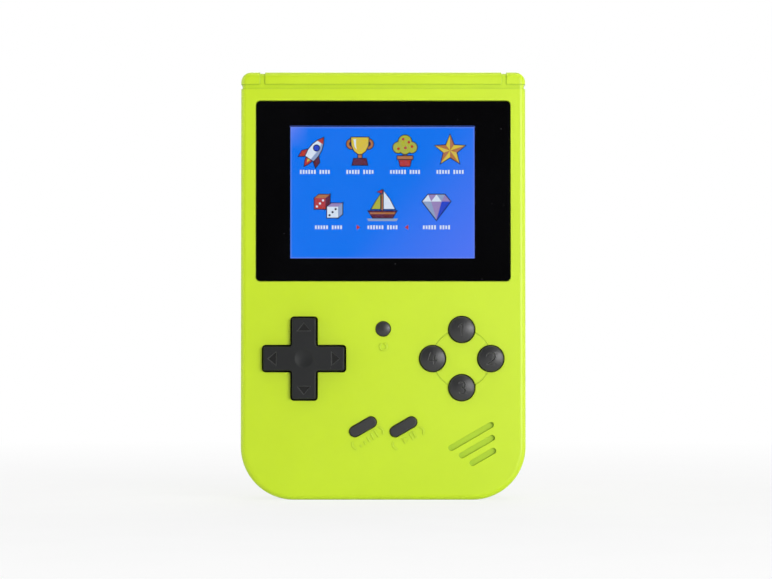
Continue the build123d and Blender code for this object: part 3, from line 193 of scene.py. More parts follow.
class EffectShop:
    """Builds each shared effect once and hands it out."""

    def __init__(self) -> None:
        """Starts with no effect built."""
        self.groups: dict[Effect, bpy.types.ShaderNodeTree] = {}

    def group(self, effect: Effect) -> bpy.types.ShaderNodeTree:
        """Builds the node group of an effect at its first use.

        Args:
            effect: Which effect.

        Returns:
            Its node group.
        """
        if effect not in self.groups:
            makers = {
                Effect.SKIN: self._skin, Effect.DRIFT: self._drift, Effect.WEAR: self._wear,
                Effect.DUST: self._dust, Effect.BRUSH: self._brush, Effect.SMUDGE: self._smudge,
                Effect.SUNK: self._sunk, Effect.HOLLOW: self._hollow,
            }
            self.groups[effect] = makers[effect](effect.value)
        return self.groups[effect]

    def place(self, desk: Desk, effect: Effect, inputs: dict[str, Any]) -> Socket:
        """Puts an effect into a material and returns its output."""
        return desk.add("ShaderNodeGroup", inputs, node_tree=self.group(effect)).outputs[0]

    @staticmethod
    def _open(
        name: str, inputs: dict[str, Any], output: str = "Mask", kind: str = "NodeSocketFloat"
    ) -> tuple[Desk, Node]:
        """Starts a group with its sockets.

        Args:
            name: The group's name.
            inputs: Socket name to its starting value; a tuple makes a colour socket.
            output: Name of the one output.
            kind: Socket type of the output.

        Returns:
            The desk and the input node.
        """
        tree = bpy.data.node_groups.new(name, "ShaderNodeTree")
        for label, value in inputs.items():
            socket_type = "NodeSocketColor" if isinstance(value, tuple) else "NodeSocketFloat"
            socket = tree.interface.new_socket(label, in_out="INPUT", socket_type=socket_type)
            socket.default_value = value
        tree.interface.new_socket(output, in_out="OUTPUT", socket_type=kind)
        desk = Desk(tree)
        return desk, desk.add("NodeGroupInput")

    @staticmethod
    def _close(desk: Desk, result: Socket) -> bpy.types.ShaderNodeTree:
        """Gives a group its result and returns the group."""
        desk.add("NodeGroupOutput", {0: result})
        return desk.tree

    def _skin(self, name: str) -> bpy.types.ShaderNodeTree:
        """Makes spark-eroded mould texture over a slow wave of the wall.

        Args:
            name: The group's name.

        Returns:
            The group.
        """
        desk, come = self._open(name, {"Pebbles per mm": 4.0, "Waves": 0.3}, "Height")
        place = desk.place_mm()
        fine = desk.noise(place, come.outputs[0], detail=3.0, rough=0.6)
        slow = desk.math("MULTIPLY", desk.noise(place, scale=0.12, detail=1.0), come.outputs[1])
        return self._close(desk, desk.math("ADD", fine, slow))

    def _drift(self, name: str) -> bpy.types.ShaderNodeTree:
        """Makes a slow change between two colours.

        Args:
            name: The group's name.

        Returns:
            The group.
        """
        inputs = {
            "Colour": (0.5, 0.5, 0.5, 1), "Other": (0.4, 0.4, 0.4, 1), "Patches per mm": 0.1, "Amount": 0.5,
        }
        desk, come = self._open(name, inputs, "Colour", "NodeSocketColor")
        slow = desk.cloud(
            desk.place_mm(), come.outputs[2], detail=3.0, low=0.0, high=come.outputs[3], within=(0.32, 0.68)
        )
        return self._close(desk, desk.mix_colour(slow, come.outputs[0], come.outputs[1]))

    def _wear(self, name: str) -> bpy.types.ShaderNodeTree:
        """Makes a mask of edges, broken up by noise, for scuffing and painted edge highlights.

        Args:
            name: The group's name.

        Returns:
            The group.
        """
        desk, come = self._open(name, {"Reach": 0.0003, "Strength": 3.0})
        soft = desk.add("ShaderNodeBevel", {"Radius": come.outputs[0]}, samples=4).outputs[0]
        plain = desk.add("ShaderNodeNewGeometry").outputs["Normal"]
        same = desk.add("ShaderNodeVectorMath", {0: soft, 1: plain}, operation="DOT_PRODUCT").outputs["Value"]
        turned = desk.math("MULTIPLY", desk.math("SUBTRACT", 1.0, same), come.outputs[1], clamp=True)
        broken = desk.cloud(desk.place_mm(), scale=0.9, detail=4.0, low=0.25, high=1.0, within=(0.35, 0.7))
        return self._close(desk, desk.math("MULTIPLY", turned, broken))

    def _hollow(self, name: str) -> bpy.types.ShaderNodeTree:
        """Makes a mask of narrow hollows, where shade is painted because little light gets into them.

        Args:
            name: The group's name.

        Returns:
            The group.
        """
        desk, come = self._open(name, {"Reach": 0.0008, "Closed": 0.35, "Open": 0.8})
        inputs = {"Distance": come.outputs[0]}
        free = desk.add("ShaderNodeAmbientOcclusion", inputs, samples=6, only_local=True).outputs["AO"]
        mask = desk.span(free, come.outputs["Closed"], come.outputs["Open"], to_low=1.0, to_high=0.0)
        return self._close(desk, mask)

    def _dust(self, name: str) -> bpy.types.ShaderNodeTree:
        """Makes a mask of sparse specks.

        Args:
            name: The group's name.

        Returns:
            The group.
        """
        desk, come = self._open(name, {"Specks per mm": 0.6, "Amount": 0.5})
        place = desk.place_mm()
        cells = desk.add("ShaderNodeTexVoronoi", {"Vector": place, "Scale": come.outputs[0]})
        speck = desk.span(cells.outputs["Distance"], low=0.05, high=0.09, to_low=1.0, to_high=0.0)
        few = desk.cloud(place, scale=0.35, detail=2.0, low=0.0, high=come.outputs[1], within=(0.52, 0.62))
        return self._close(desk, desk.math("MULTIPLY", speck, few))

    def _brush(self, name: str) -> bpy.types.ShaderNodeTree:
        """Makes fine drawn lines along one way.

        Args:
            name: The group's name.

        Returns:
            The group.
        """
        desk, come = self._open(name, {"Lines per mm": 6.0}, "Value")
        stretch = desk.add("ShaderNodeMapping", {"Vector": desk.place_mm(), "Scale": (0.06, 1.0, 1.0)})
        return self._close(desk, desk.noise(stretch.outputs[0], come.outputs[0], detail=4.0, rough=0.7))

    def _smudge(self, name: str) -> bpy.types.ShaderNodeTree:
        """Makes a mask of faint finger marks on gloss.

        Args:
            name: The group's name.

        Returns:
            The group.
        """
        desk, come = self._open(name, {"Patches per mm": 0.08, "Amount": 0.5})
        place = desk.place_mm()
        patch = desk.cloud(
            place, come.outputs[0], detail=2.0, low=0.0, high=come.outputs[1], within=(0.5, 0.72)
        )
        waves = {"Vector": place, "Scale": 1.1, "Distortion": 3.0, "Detail": 1.0}
        lines = desk.add("ShaderNodeTexWave", waves).outputs[1]
        broken = desk.span(lines, low=0.2, high=0.9, to_low=0.45, to_high=1.0)
        return self._close(desk, desk.math("MULTIPLY", patch, broken))

    def _sunk(self, name: str) -> bpy.types.ShaderNodeTree:
        """Makes a mask of what lies below a crowned or flat top, where pressed marks get painted shade and
        highlight.

        The tops may stand four times round a middle, as the arms of a cross or the keys of a
        diamond do: the place is folded so that one top stands for all four.

        Args:
            name: The group's name.

        Returns:
            The group.
        """
        inputs = {
            "Middle X": 0.0, "Middle Z": 0.0, "Offset": 0.0, "Ball Y": 0.0, "Ball Radius": 10.0,
            "Reach": 2.6, "Least": 0.06, "Most": 0.16,
        }
        desk, come = self._open(name, inputs)
        place = desk.add("ShaderNodeSeparateXYZ", {0: desk.place_mm()})
        across = desk.math("ABSOLUTE", desk.math("SUBTRACT", place.outputs[0], come.outputs["Middle X"]))
        along = desk.math("ABSOLUTE", desk.math("SUBTRACT", place.outputs[2], come.outputs["Middle Z"]))
        out = desk.math("SUBTRACT", desk.math("MAXIMUM", across, along), come.outputs["Offset"])
        side = desk.math("MINIMUM", across, along)
        flat = desk.math("ADD", desk.math("POWER", out, 2.0), desk.math("POWER", side, 2.0))
        deep = desk.math("SUBTRACT", place.outputs[1], come.outputs["Ball Y"])
        whole = desk.math("SQRT", desk.math("ADD", flat, desk.math("POWER", deep, 2.0)))
        below = desk.math("SUBTRACT", come.outputs["Ball Radius"], whole)
        near = desk.math("LESS_THAN", desk.math("SQRT", flat), come.outputs["Reach"])
        mask = desk.span(below, come.outputs["Least"], come.outputs["Most"], to_low=0.0, to_high=1.0)
        return self._close(desk, desk.math("MULTIPLY", mask, near))


EFFECTS = EffectShop()


# Finishes


@dataclass(frozen=True)
class Finish:
    """What every finish has: a name, and a way to become a material."""

    name: str

    def make(self) -> Material:
        """Builds the material round one shader.

        Returns:
            The new material.
        """
        material = bpy.data.materials.new(self.name)
        desk = Desk.cleared(material)
        shader = desk.add("ShaderNodeBsdfPrincipled", self.sockets(desk))
        desk.add("ShaderNodeOutputMaterial", {"Surface": shader.outputs[0]})
        return material

    def sockets(self, desk: Desk) -> dict[str, Any]:
        """Returns what goes into the shader's sockets, which each kind of finish says for itself."""
        raise NotImplementedError(self.name)


@dataclass(frozen=True)
class PressedMark:
    """Where marks are pressed into tops that stand round a middle, in millimetres, with painted shade on
    their floors and a painted highlight on their walls.
    """

    middle: Point
    offset: float
    ball_y: float
    ball_radius: float
    reach: float
    # Painted shade on the marks' floors, and a painted highlight on their walls.
    floor: Colour
    wall: Colour
    floor_depths: Point
    wall_depths: Point = (0.02, 0.05)
    floor_share: float = 0.9
    wall_share: float = 0.7


@dataclass(frozen=True)
class MouldedFinish(Finish):
    """Moulded plastic, rubber or resin."""

    colour: Colour
    other: Colour
    # Lighter colour of scuffed edges and dust specks; on edges it is partly a painted highlight.
    dust_scuff_and_highlight: Colour
    patches_per_mm: float = 0.06
    drift: float = 0.6
    rough_low: float = 0.34
    rough_high: float = 0.44
    rough_patches_per_mm: float = 0.25
    speck_rough: float = 0.3
    pebbles_per_mm: float = 5.0
    waves: float = 0.4
    depth_mm: float = 0.02
    # Strength of the edge mask, which marks scuffing and paints edge highlights.
    wear: float = 0.8
    edge: float = 0.0002
    dust: float = 0.35
    coat: float = 0.0
    coat_rough: float = 0.08
    specular: float = 0.5
    # Painted shade: a darker colour mixed into narrow hollows where little light reaches.
    hollow: Colour | None = None
    hollow_reach: float = 0.0018
    hollow_span: Point = (0.45, 0.93)
    mark: PressedMark | None = None

    def _marked(self, desk: Desk, base: Socket) -> Socket:
        """Paints a highlight on the walls and shade on the floors of pressed marks.

        Args:
            desk: The material's desk.
            base: The base colour so far.

        Returns:
            The new base colour.
        """
        if self.mark is None:
            return base
        mark = self.mark
        shade_and_highlight_layers = (
            (mark.wall, mark.wall_depths, mark.wall_share), (mark.floor, mark.floor_depths, mark.floor_share),
        )
        for colour, (least, most), share in shade_and_highlight_layers:
            mask = EFFECTS.place(desk, Effect.SUNK, {
                "Middle X": mark.middle[0], "Middle Z": mark.middle[1], "Offset": mark.offset,
                "Ball Y": mark.ball_y, "Ball Radius": mark.ball_radius, "Reach": mark.reach,
                "Least": least, "Most": most,
            })
            # Paints shade on the mark's floor and a highlight on its wall.
            base = desk.mix_colour(desk.math("MULTIPLY", mask, share), base, colour)
        return base

    def _shaded(self, desk: Desk, base: Socket) -> Socket:
        """Paints shade into grooves and round holes by darkening the colour there.

        Args:
            desk: The material's desk.
            base: The base colour so far.

        Returns:
            The new base colour.
        """
        if self.hollow is None:
            return base
        closed, free = self.hollow_span
        inputs = {"Reach": self.hollow_reach, "Closed": closed, "Open": free}
        # Painted shade: the hollow mask mixes in the darker hollow colour.
        return desk.mix_colour(EFFECTS.place(desk, Effect.HOLLOW, inputs), base, self.hollow)

    def sockets(self, desk: Desk) -> dict[str, Any]:
        """Builds drifting colour, pressed marks with painted shade and highlight, painted shade in hollows,
        scuffed edges with painted highlights, specks and moulded skin.

        Args:
            desk: The material's desk.

        Returns:
            The shader's socket names, each to its value or feeding socket.
        """
        base = EFFECTS.place(desk, Effect.DRIFT, {
            "Colour": self.colour, "Other": self.other, "Patches per mm": self.patches_per_mm,
            "Amount": self.drift,
        })
        base = self._shaded(desk, self._marked(desk, base))
        scuffed_and_lit_edges = EFFECTS.place(desk, Effect.WEAR, {"Reach": self.edge, "Strength": self.wear})
        specks = EFFECTS.place(desk, Effect.DUST, {"Amount": self.dust})
        # Edges take the lighter colour, partly as scuffing and partly as a painted highlight; dust specks
        # take it too.
        for mask in (scuffed_and_lit_edges, specks):
            base = desk.mix_colour(mask, base, self.dust_scuff_and_highlight)
        rough = desk.cloud(
            desk.place_mm(), self.rough_patches_per_mm, detail=4.0, low=self.rough_low, high=self.rough_high
        )
        rough = desk.math("ADD", rough, desk.math("MULTIPLY", specks, self.speck_rough), clamp=True)
        inputs = {"Pebbles per mm": self.pebbles_per_mm, "Waves": self.waves}
        skin = EFFECTS.place(desk, Effect.SKIN, inputs)
        soft = desk.add("ShaderNodeBevel", {"Radius": self.edge}, samples=4).outputs[0]
        return {
            "Base Color": base, "Roughness": rough, "Normal": desk.bump(skin, self.depth_mm, Normal=soft),
            "Coat Weight": self.coat, "Coat Roughness": self.coat_rough, "Specular IOR Level": self.specular,
        }


@dataclass(frozen=True)
class GlossFinish(Finish):
    """Black printed lens: deep gloss with faint finger marks."""

    colour: Colour
    other: Colour = srgb(9, 9, 11)
    speck: Colour = (0.25, 0.25, 0.26, 1)
    speck_share: float = 0.25
    rough: float = 0.035
    smudge: float = 0.5
    smudge_rough: float = 0.16
    wave_mm: float = 0.01
    wave_strength: float = 0.3
    coat: float = 0.6
    coat_rough: float = 0.02
    specular: float = 0.5

    def sockets(self, desk: Desk) -> dict[str, Any]:
        """Builds near-black gloss with specks, finger marks and a slow wave.

        Args:
            desk: The material's desk.

        Returns:
            The shader's socket names, each to its value or feeding socket.
        """
        marks = EFFECTS.place(desk, Effect.SMUDGE, {"Amount": self.smudge})
        specks = EFFECTS.place(desk, Effect.DUST, {"Specks per mm": 0.35, "Amount": 0.5})
        base = EFFECTS.place(desk, Effect.DRIFT, {
            "Colour": self.colour, "Other": self.other, "Patches per mm": 0.03, "Amount": 0.7,
        })
        wave = desk.noise(desk.place_mm(), scale=0.05, detail=1.0)
        return {
            "Base Color": desk.mix_colour(desk.math("MULTIPLY", specks, self.speck_share), base, self.speck),
            "Roughness": desk.math("ADD", desk.math("MULTIPLY", marks, self.smudge_rough), self.rough),
            "Normal": desk.bump(wave, self.wave_mm, self.wave_strength),
            "Coat Weight": self.coat, "Coat Roughness": self.coat_rough, "Specular IOR Level": self.specular,
        }


@dataclass(frozen=True)
class PaneFinish(Finish):
    """Clear window of the lens."""

    tint: Colour = (0.93, 0.95, 0.97, 1.0)
    other: Colour = (0.97, 0.98, 1.0, 1.0)
    rough: float = 0.0
    smudge: float = 0.35
    smudge_rough: float = 0.03
    bend: float = 1.2

    def sockets(self, desk: Desk) -> dict[str, Any]:
        """Builds a clear pane with faint finger marks.

        Args:
            desk: The material's desk.

        Returns:
            The shader's socket names, each to its value or feeding socket.
        """
        marks = EFFECTS.place(desk, Effect.SMUDGE, {"Amount": self.smudge})
        base = EFFECTS.place(desk, Effect.DRIFT, {
            "Colour": self.tint, "Other": self.other, "Patches per mm": 0.05, "Amount": 0.5,
        })
        return {
            "Base Color": base, "Transmission Weight": 1.0, "IOR": self.bend,
            "Roughness": desk.math("ADD", desk.math("MULTIPLY", marks, self.smudge_rough), self.rough),
        }


@dataclass(frozen=True)
class MetalFinish(Finish):
    """Plated, drawn or pressed metal."""

    colour: Colour
    other: Colour
    patches_per_mm: float = 0.5
    rough_low: float = 0.22
    rough_high: float = 0.42
    lines_per_mm: float = 6.0
    depth_mm: float = 0.006
    dull: float = 0.5
    # Painted shade for recesses such as the screws' drive slots.
    hollow_shade_tone: Colour = srgb(58, 56, 53)

    def sockets(self, desk: Desk) -> dict[str, Any]:
        """Builds drawn lines, dulled patches and painted shade in the hollows.

        Args:
            desk: The material's desk.

        Returns:
            The shader's socket names, each to its value or feeding socket.
        """
        lines = EFFECTS.place(desk, Effect.BRUSH, {"Lines per mm": self.lines_per_mm})
        base = EFFECTS.place(desk, Effect.DRIFT, {
            "Colour": self.colour, "Other": self.other, "Patches per mm": self.patches_per_mm,
            "Amount": self.dull,
        })
        return {
            # Painted shade darkens the hollows, such as the screws' drive recesses.
            "Base Color": desk.mix_colour(EFFECTS.place(desk, Effect.HOLLOW, {}), base, self.hollow_shade_tone),
            "Roughness": desk.span(lines, *NOISE_SPAN, self.rough_low, self.rough_high),
            "Normal": desk.bump(lines, self.depth_mm), "Metallic": 1.0,
        }


@dataclass(frozen=True)
class BoardFinish(Finish):
    """Green solder mask with darker track lines under it."""

    mask: Colour = srgb(24, 92, 48)
    track: Colour = srgb(38, 120, 66)
    tracks_per_mm: float = 0.5
    track_width: float = 0.06
    depth_mm: float = 0.03
    strength: float = 0.6

    def sockets(self, desk: Desk) -> dict[str, Any]:
        """Builds patches of crossing tracks under a glossy mask.

        Args:
            desk: The material's desk.

        Returns:
            The shader's socket names, each to its value or feeding socket.
        """
        place = desk.place_mm()
        upright = desk.add("ShaderNodeMapping", {"Vector": place, "Rotation": (math.pi / 2, 0.0, 0.0)})
        tracks = desk.add("ShaderNodeTexBrick", {
            "Vector": upright.outputs[0], "Scale": self.tracks_per_mm, "Mortar Size": self.track_width,
            "Color1": self.mask, "Color2": self.mask,
        })
        patches = desk.cloud(place, scale=0.15, detail=1.0, low=0.0, high=1.0, within=(0.45, 0.55))
        factor = desk.math("MULTIPLY", tracks.outputs["Fac"], patches)
        return {
            "Base Color": desk.mix_colour(factor, self.mask, self.track),
            "Roughness": desk.cloud(place, scale=0.6, detail=2.0, low=0.25, high=0.4),
            "Normal": desk.bump(factor, self.depth_mm, self.strength),
        }


@dataclass(frozen=True)
class DisplayFinish(Finish):
    """Display glass: black round its rim, lit blue with a slow change of hue inside."""

    center_mm: Point
    size_mm: Point
    left: Colour = srgb(0, 115, 240)
    right: Colour = srgb(78, 118, 244)
    glow: Colour = srgb(120, 140, 246)
    dark: Colour = (0.002, 0.002, 0.003, 1)
    slant: float = 0.8
    hue_span_mm: Point = (4.0, 36.0)
    corner_mm: Point = (5.0, 6.0)
    corner_glow: float = 0.7
    cloudy: float = 0.06
    rim_mm: float = 0.5
    rim_glow: float = 0.6

    def sockets(self, desk: Desk) -> dict[str, Any]:
        """Builds the lit area with its slanting hue, bright corner and bright rim.

        Args:
            desk: The material's desk.

        Returns:
            The shader's socket names, each to its value or feeding socket.
        """
        half_x, half_z = self.size_mm[0] / 2, self.size_mm[1] / 2
        place = desk.place_mm()
        parts = desk.add("ShaderNodeSeparateXYZ", {0: place})
        across = desk.math("SUBTRACT", parts.outputs[0], self.center_mm[0])
        along = desk.math("SUBTRACT", parts.outputs[2], self.center_mm[1])
        side_x = desk.math("SUBTRACT", desk.math("ABSOLUTE", across), half_x)
        side_z = desk.math("SUBTRACT", desk.math("ABSOLUTE", along), half_z)
        past = desk.math("MAXIMUM", side_x, side_z)
        slant = desk.math("SUBTRACT", across, desk.math("MULTIPLY", along, self.slant))
        turn = desk.span(slant, *self.hue_span_mm, to_low=0.0, to_high=1.0)
        hue = desk.mix_colour(turn, self.left, self.right)
        corner_x = desk.span(across, -half_x, -half_x + self.corner_mm[0], to_low=1.0, to_high=0.0)
        corner_z = desk.span(along, half_z - self.corner_mm[1], half_z, to_low=0.0, to_high=1.0)
        leak = desk.math("MULTIPLY", desk.math("MULTIPLY", corner_x, corner_z), self.corner_glow)
        hue = desk.mix_colour(leak, hue, self.glow)
        cloud = desk.cloud(place, scale=0.08, detail=2.0, low=0.0, high=self.cloudy)
        hue = desk.mix_colour(cloud, hue, self.right)
        rim = desk.span(past, low=-self.rim_mm, high=0.0, to_low=0.0, to_high=self.rim_glow)
        hue = desk.mix_colour(rim, hue, self.glow)
        lit = desk.math("LESS_THAN", past, 0.0)
        return {
            "Base Color": desk.mix_colour(cloud, UNLIT, self.dark),
            "Roughness": desk.cloud(place, scale=0.5, detail=2.0, low=0.25, high=0.35),
            "Emission Color": desk.mix_colour(lit, BLACK, hue),
            "Emission Strength": 1.0, "Specular IOR Level": 0.0,
        }


@dataclass(frozen=True)
class PictureFinish(Finish):
    """Lit colours of the drawn menu, read from the piece's own paint attribute."""

    attribute: str = "paint"
    haze: Colour = srgb(70, 110, 220)
    haze_share: float = 0.12

    def sockets(self, desk: Desk) -> dict[str, Any]:
        """Builds the painted colours under a faint uneven haze of the display's blue.

        Args:
            desk: The material's desk.

        Returns:
            The shader's socket names, each to its value or feeding socket.
        """
        paint = desk.add("ShaderNodeAttribute", attribute_name=self.attribute).outputs["Color"]
        place = desk.place_mm()
        haze = desk.cloud(place, scale=1.4, detail=3.0, low=0.0, high=self.haze_share)
        return {
            "Base Color": UNLIT,
            "Roughness": desk.cloud(place, scale=0.5, detail=2.0, low=0.3, high=0.4),
            "Emission Color": desk.mix_colour(haze, paint, self.haze),
            "Emission Strength": 1.0, "Specular IOR Level": 0.0,
        }


class Look(Enum):
    """Every finish of the console."""

    # In these finishes the lighter edge colour is partly a painted highlight on scuffed edges.
    CASE = MouldedFinish(
        "case_lime", srgb(198, 227, 14), srgb(194, 223, 4), srgb(212, 238, 96),
        drift=0.8, rough_low=0.38, rough_high=0.45, pebbles_per_mm=4.5, depth_mm=0.014, wear=0.9, dust=0.3,
        # The hollow colour is painted shade in grooves, slots and round holes.
        specular=0.6, hollow=srgb(172, 205, 6),
    )
    KEY = MouldedFinish(
        "key_grey", srgb(43, 43, 44), srgb(38, 39, 40), srgb(104, 105, 103),
        drift=0.7, rough_low=0.34, rough_high=0.4, pebbles_per_mm=6.0, depth_mm=0.012, wear=2.4,
        # Mark floor colour is painted shade, and the wall colour is a painted highlight.
        edge=0.00022, dust=0.5, mark=PressedMark(
            (21.14, 38.0), 7.83, -0.005, 10.045, 2.4, srgb(10, 10, 11), srgb(140, 141, 139), (0.14, 0.22),
        ),
    )
    PAD = MouldedFinish(
        "pad_grey", srgb(36, 37, 38), srgb(31, 32, 33), srgb(96, 97, 95),
        drift=0.7, rough_low=0.42, rough_high=0.5, pebbles_per_mm=6.0, depth_mm=0.014, wear=2.4,
        # Mark floor colour is painted shade, and the wall colour is a painted highlight.
        edge=0.00028, dust=0.5, specular=0.22, mark=PressedMark(
            (-21.3, 38.0), 8.4, 989.55, 1000.0, 2.1, srgb(4, 4, 4), srgb(92, 93, 92), (0.14, 0.24),
        ),
    )
    LENS = GlossFinish("lens_black", srgb(3, 3, 4), smudge=0.35, coat=0.05, specular=0.22)
    PANE = PaneFinish("lens_clear")
    TAPE = MouldedFinish(
        "tape_black", srgb(22, 22, 22), srgb(28, 28, 28), srgb(40, 40, 40),
        rough_low=0.7, rough_high=0.85, wear=0.2,
    )
    FOAM = MouldedFinish(
        "foam_black", srgb(34, 34, 36), srgb(26, 26, 27), srgb(60, 60, 60),
        rough_low=0.85, rough_high=0.95, pebbles_per_mm=8.0, depth_mm=0.08, wear=0.2,
    )
    GUIDE = MouldedFinish(
        "light_guide", srgb(232, 238, 240), srgb(222, 230, 236), srgb(245, 246, 247),
        rough_low=0.2, rough_high=0.3,
    )
    STEEL = MetalFinish("steel", srgb(196, 197, 200), srgb(168, 170, 174))
    MAGNET = MetalFinish(
        "magnet_steel", srgb(176, 177, 180), srgb(150, 151, 155), rough_low=0.3, rough_high=0.5,
    )
    CAN = MetalFinish("can_aluminium", srgb(216, 217, 219), srgb(196, 198, 202), lines_per_mm=3.0)
    GILT = MetalFinish("gilt", srgb(226, 186, 96), srgb(200, 158, 70), rough_low=0.18, rough_high=0.34)
    FILM = MouldedFinish(
        "ribbon_amber", srgb(186, 118, 30), srgb(168, 98, 22), srgb(210, 150, 70),
        rough_low=0.18, rough_high=0.3,
    )
    RUBBER = MouldedFinish(
        "rubber_grey", srgb(150, 152, 154), srgb(138, 140, 143), srgb(176, 177, 178),
        rough_low=0.6, rough_high=0.75, pebbles_per_mm=7.0, depth_mm=0.02,
    )
    CARBON = MouldedFinish(
        "carbon_black", srgb(26, 26, 26), srgb(34, 34, 34), srgb(60, 60, 60), rough_low=0.55, rough_high=0.7,
    )
    BOARD = BoardFinish("board_green")
    RESIN = MouldedFinish(
        "resin_black", srgb(18, 18, 19), srgb(24, 24, 25), srgb(50, 50, 50),
        rough_low=0.12, rough_high=0.22, pebbles_per_mm=0.6, depth_mm=0.1, wear=0.2,
    )
    CHIP = MouldedFinish(
        "chip_black", srgb(36, 36, 38), srgb(30, 30, 31), srgb(70, 70, 70), rough_low=0.5, rough_high=0.65,
    )
    CERAMIC = MouldedFinish(
        "chip_part_tan", srgb(150, 118, 84), srgb(130, 98, 68), srgb(190, 170, 140),
        rough_low=0.4, rough_high=0.55,
    )
    SOCKET = MouldedFinish(
        "jack_black", srgb(30, 30, 31), srgb(24, 24, 25), srgb(64, 64, 64), rough_low=0.3, rough_high=0.42,
    )
    CONE = MouldedFinish(
        "cone_film", srgb(34, 34, 36), srgb(28, 28, 30), srgb(60, 60, 62),
        rough_low=0.25, rough_high=0.4, pebbles_per_mm=1.2, depth_mm=0.05,
    )
    WIRE = MouldedFinish(
        "wire_red", srgb(196, 34, 28), srgb(176, 26, 22), srgb(220, 80, 70), rough_low=0.35, rough_high=0.5,
    )
    WRAP = MouldedFinish(
        "battery_wrap", srgb(40, 44, 58), srgb(34, 38, 50), srgb(90, 94, 104),
        rough_low=0.22, rough_high=0.36, coat=0.3,
    )
    PICTURE = PictureFinish("menu_picture")


class Wardrobe:
    """Makes each material once and puts it on pieces."""

    def __init__(self) -> None:
        """Starts empty."""
        self.made: dict[str, Material] = {}

    def material(self, finish: Finish) -> Material:
        """Makes the material of a finish at its first use.

        Args:
            finish: Which finish.

        Returns:
            Its material.
        """
        if finish.name not in self.made:
            self.made[finish.name] = finish.make()
        return self.made[finish.name]

    def dress(self, piece: Piece, finish: Finish) -> None:
        """Gives a piece its finish.

        Args:
            piece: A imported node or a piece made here.
            finish: What it is finished in.
        """
        material = self.material(finish)
        if not piece.material_slots:
            piece.data.materials.append(material)
        for slot in piece.material_slots:
            slot.material = material


# Mesh helpers


def piece_from(name: str, mesh: Mesh) -> Piece:
    """Puts a mesh into the scene.

    Args:
        name: The piece's name.
        mesh: Its mesh, with its place in it.

    Returns:
        The new object, at the origin.
    """
    piece = bpy.data.objects.new(name, mesh)
    bpy.context.scene.collection.objects.link(piece)
    return piece


def rounded_outline(center: Point, size: Sequence[float], radius: float, steps: int = 8) -> list[Point]:
    """Works out a rectangle with round corners.

    Args:
        center: Its middle.
        size: Its width and height.
        radius: Its corner radius.
        steps: Runs in each corner.

    Returns:
        Its points, anticlockwise.
    """
    points = []
    for corner, (side_x, side_z) in enumerate(((1, 1), (-1, 1), (-1, -1), (1, -1))):
        middle_x = center[0] + side_x * (size[0] / 2 - radius)
        middle_z = center[1] + side_z * (size[1] / 2 - radius)
        for step in range(steps + 1):
            angle = math.pi / 2 * (corner + step / steps)
            points.append((middle_x + radius * math.cos(angle), middle_z + radius * math.sin(angle)))
    return points


def ring_of(shape: Shape, outline: Iterable[Point], y: float) -> Ring:
    """Adds one ring of corners at a depth and returns them."""
    return [shape.verts.new((x, y, z)) for x, z in outline]


def bridge(shape: Shape, first: Ring, second: Ring) -> None:
    """Joins two rings with a band of faces.

    Args:
        shape: What the faces go into.
        first: The corners of one ring.
        second: As many corners of the other.
    """
    count = len(first)
    for index in range(count):
        after = (index + 1) % count
        shape.faces.new((first[index], first[after], second[after], second[index]))


def finished_mesh(name: str, shape: Shape) -> Mesh:
    """Turns a shape into a mesh with its faces outwards.

    Args:
        name: The mesh's name.
        shape: The closed shape, which is used up.

    Returns:
        The mesh.
    """
    bmesh.ops.recalc_face_normals(shape, faces=shape.faces)
    mesh = bpy.data.meshes.new(name)
    shape.to_mesh(mesh)
    shape.free()
    return mesh


# Geometry Nodes for what repeats


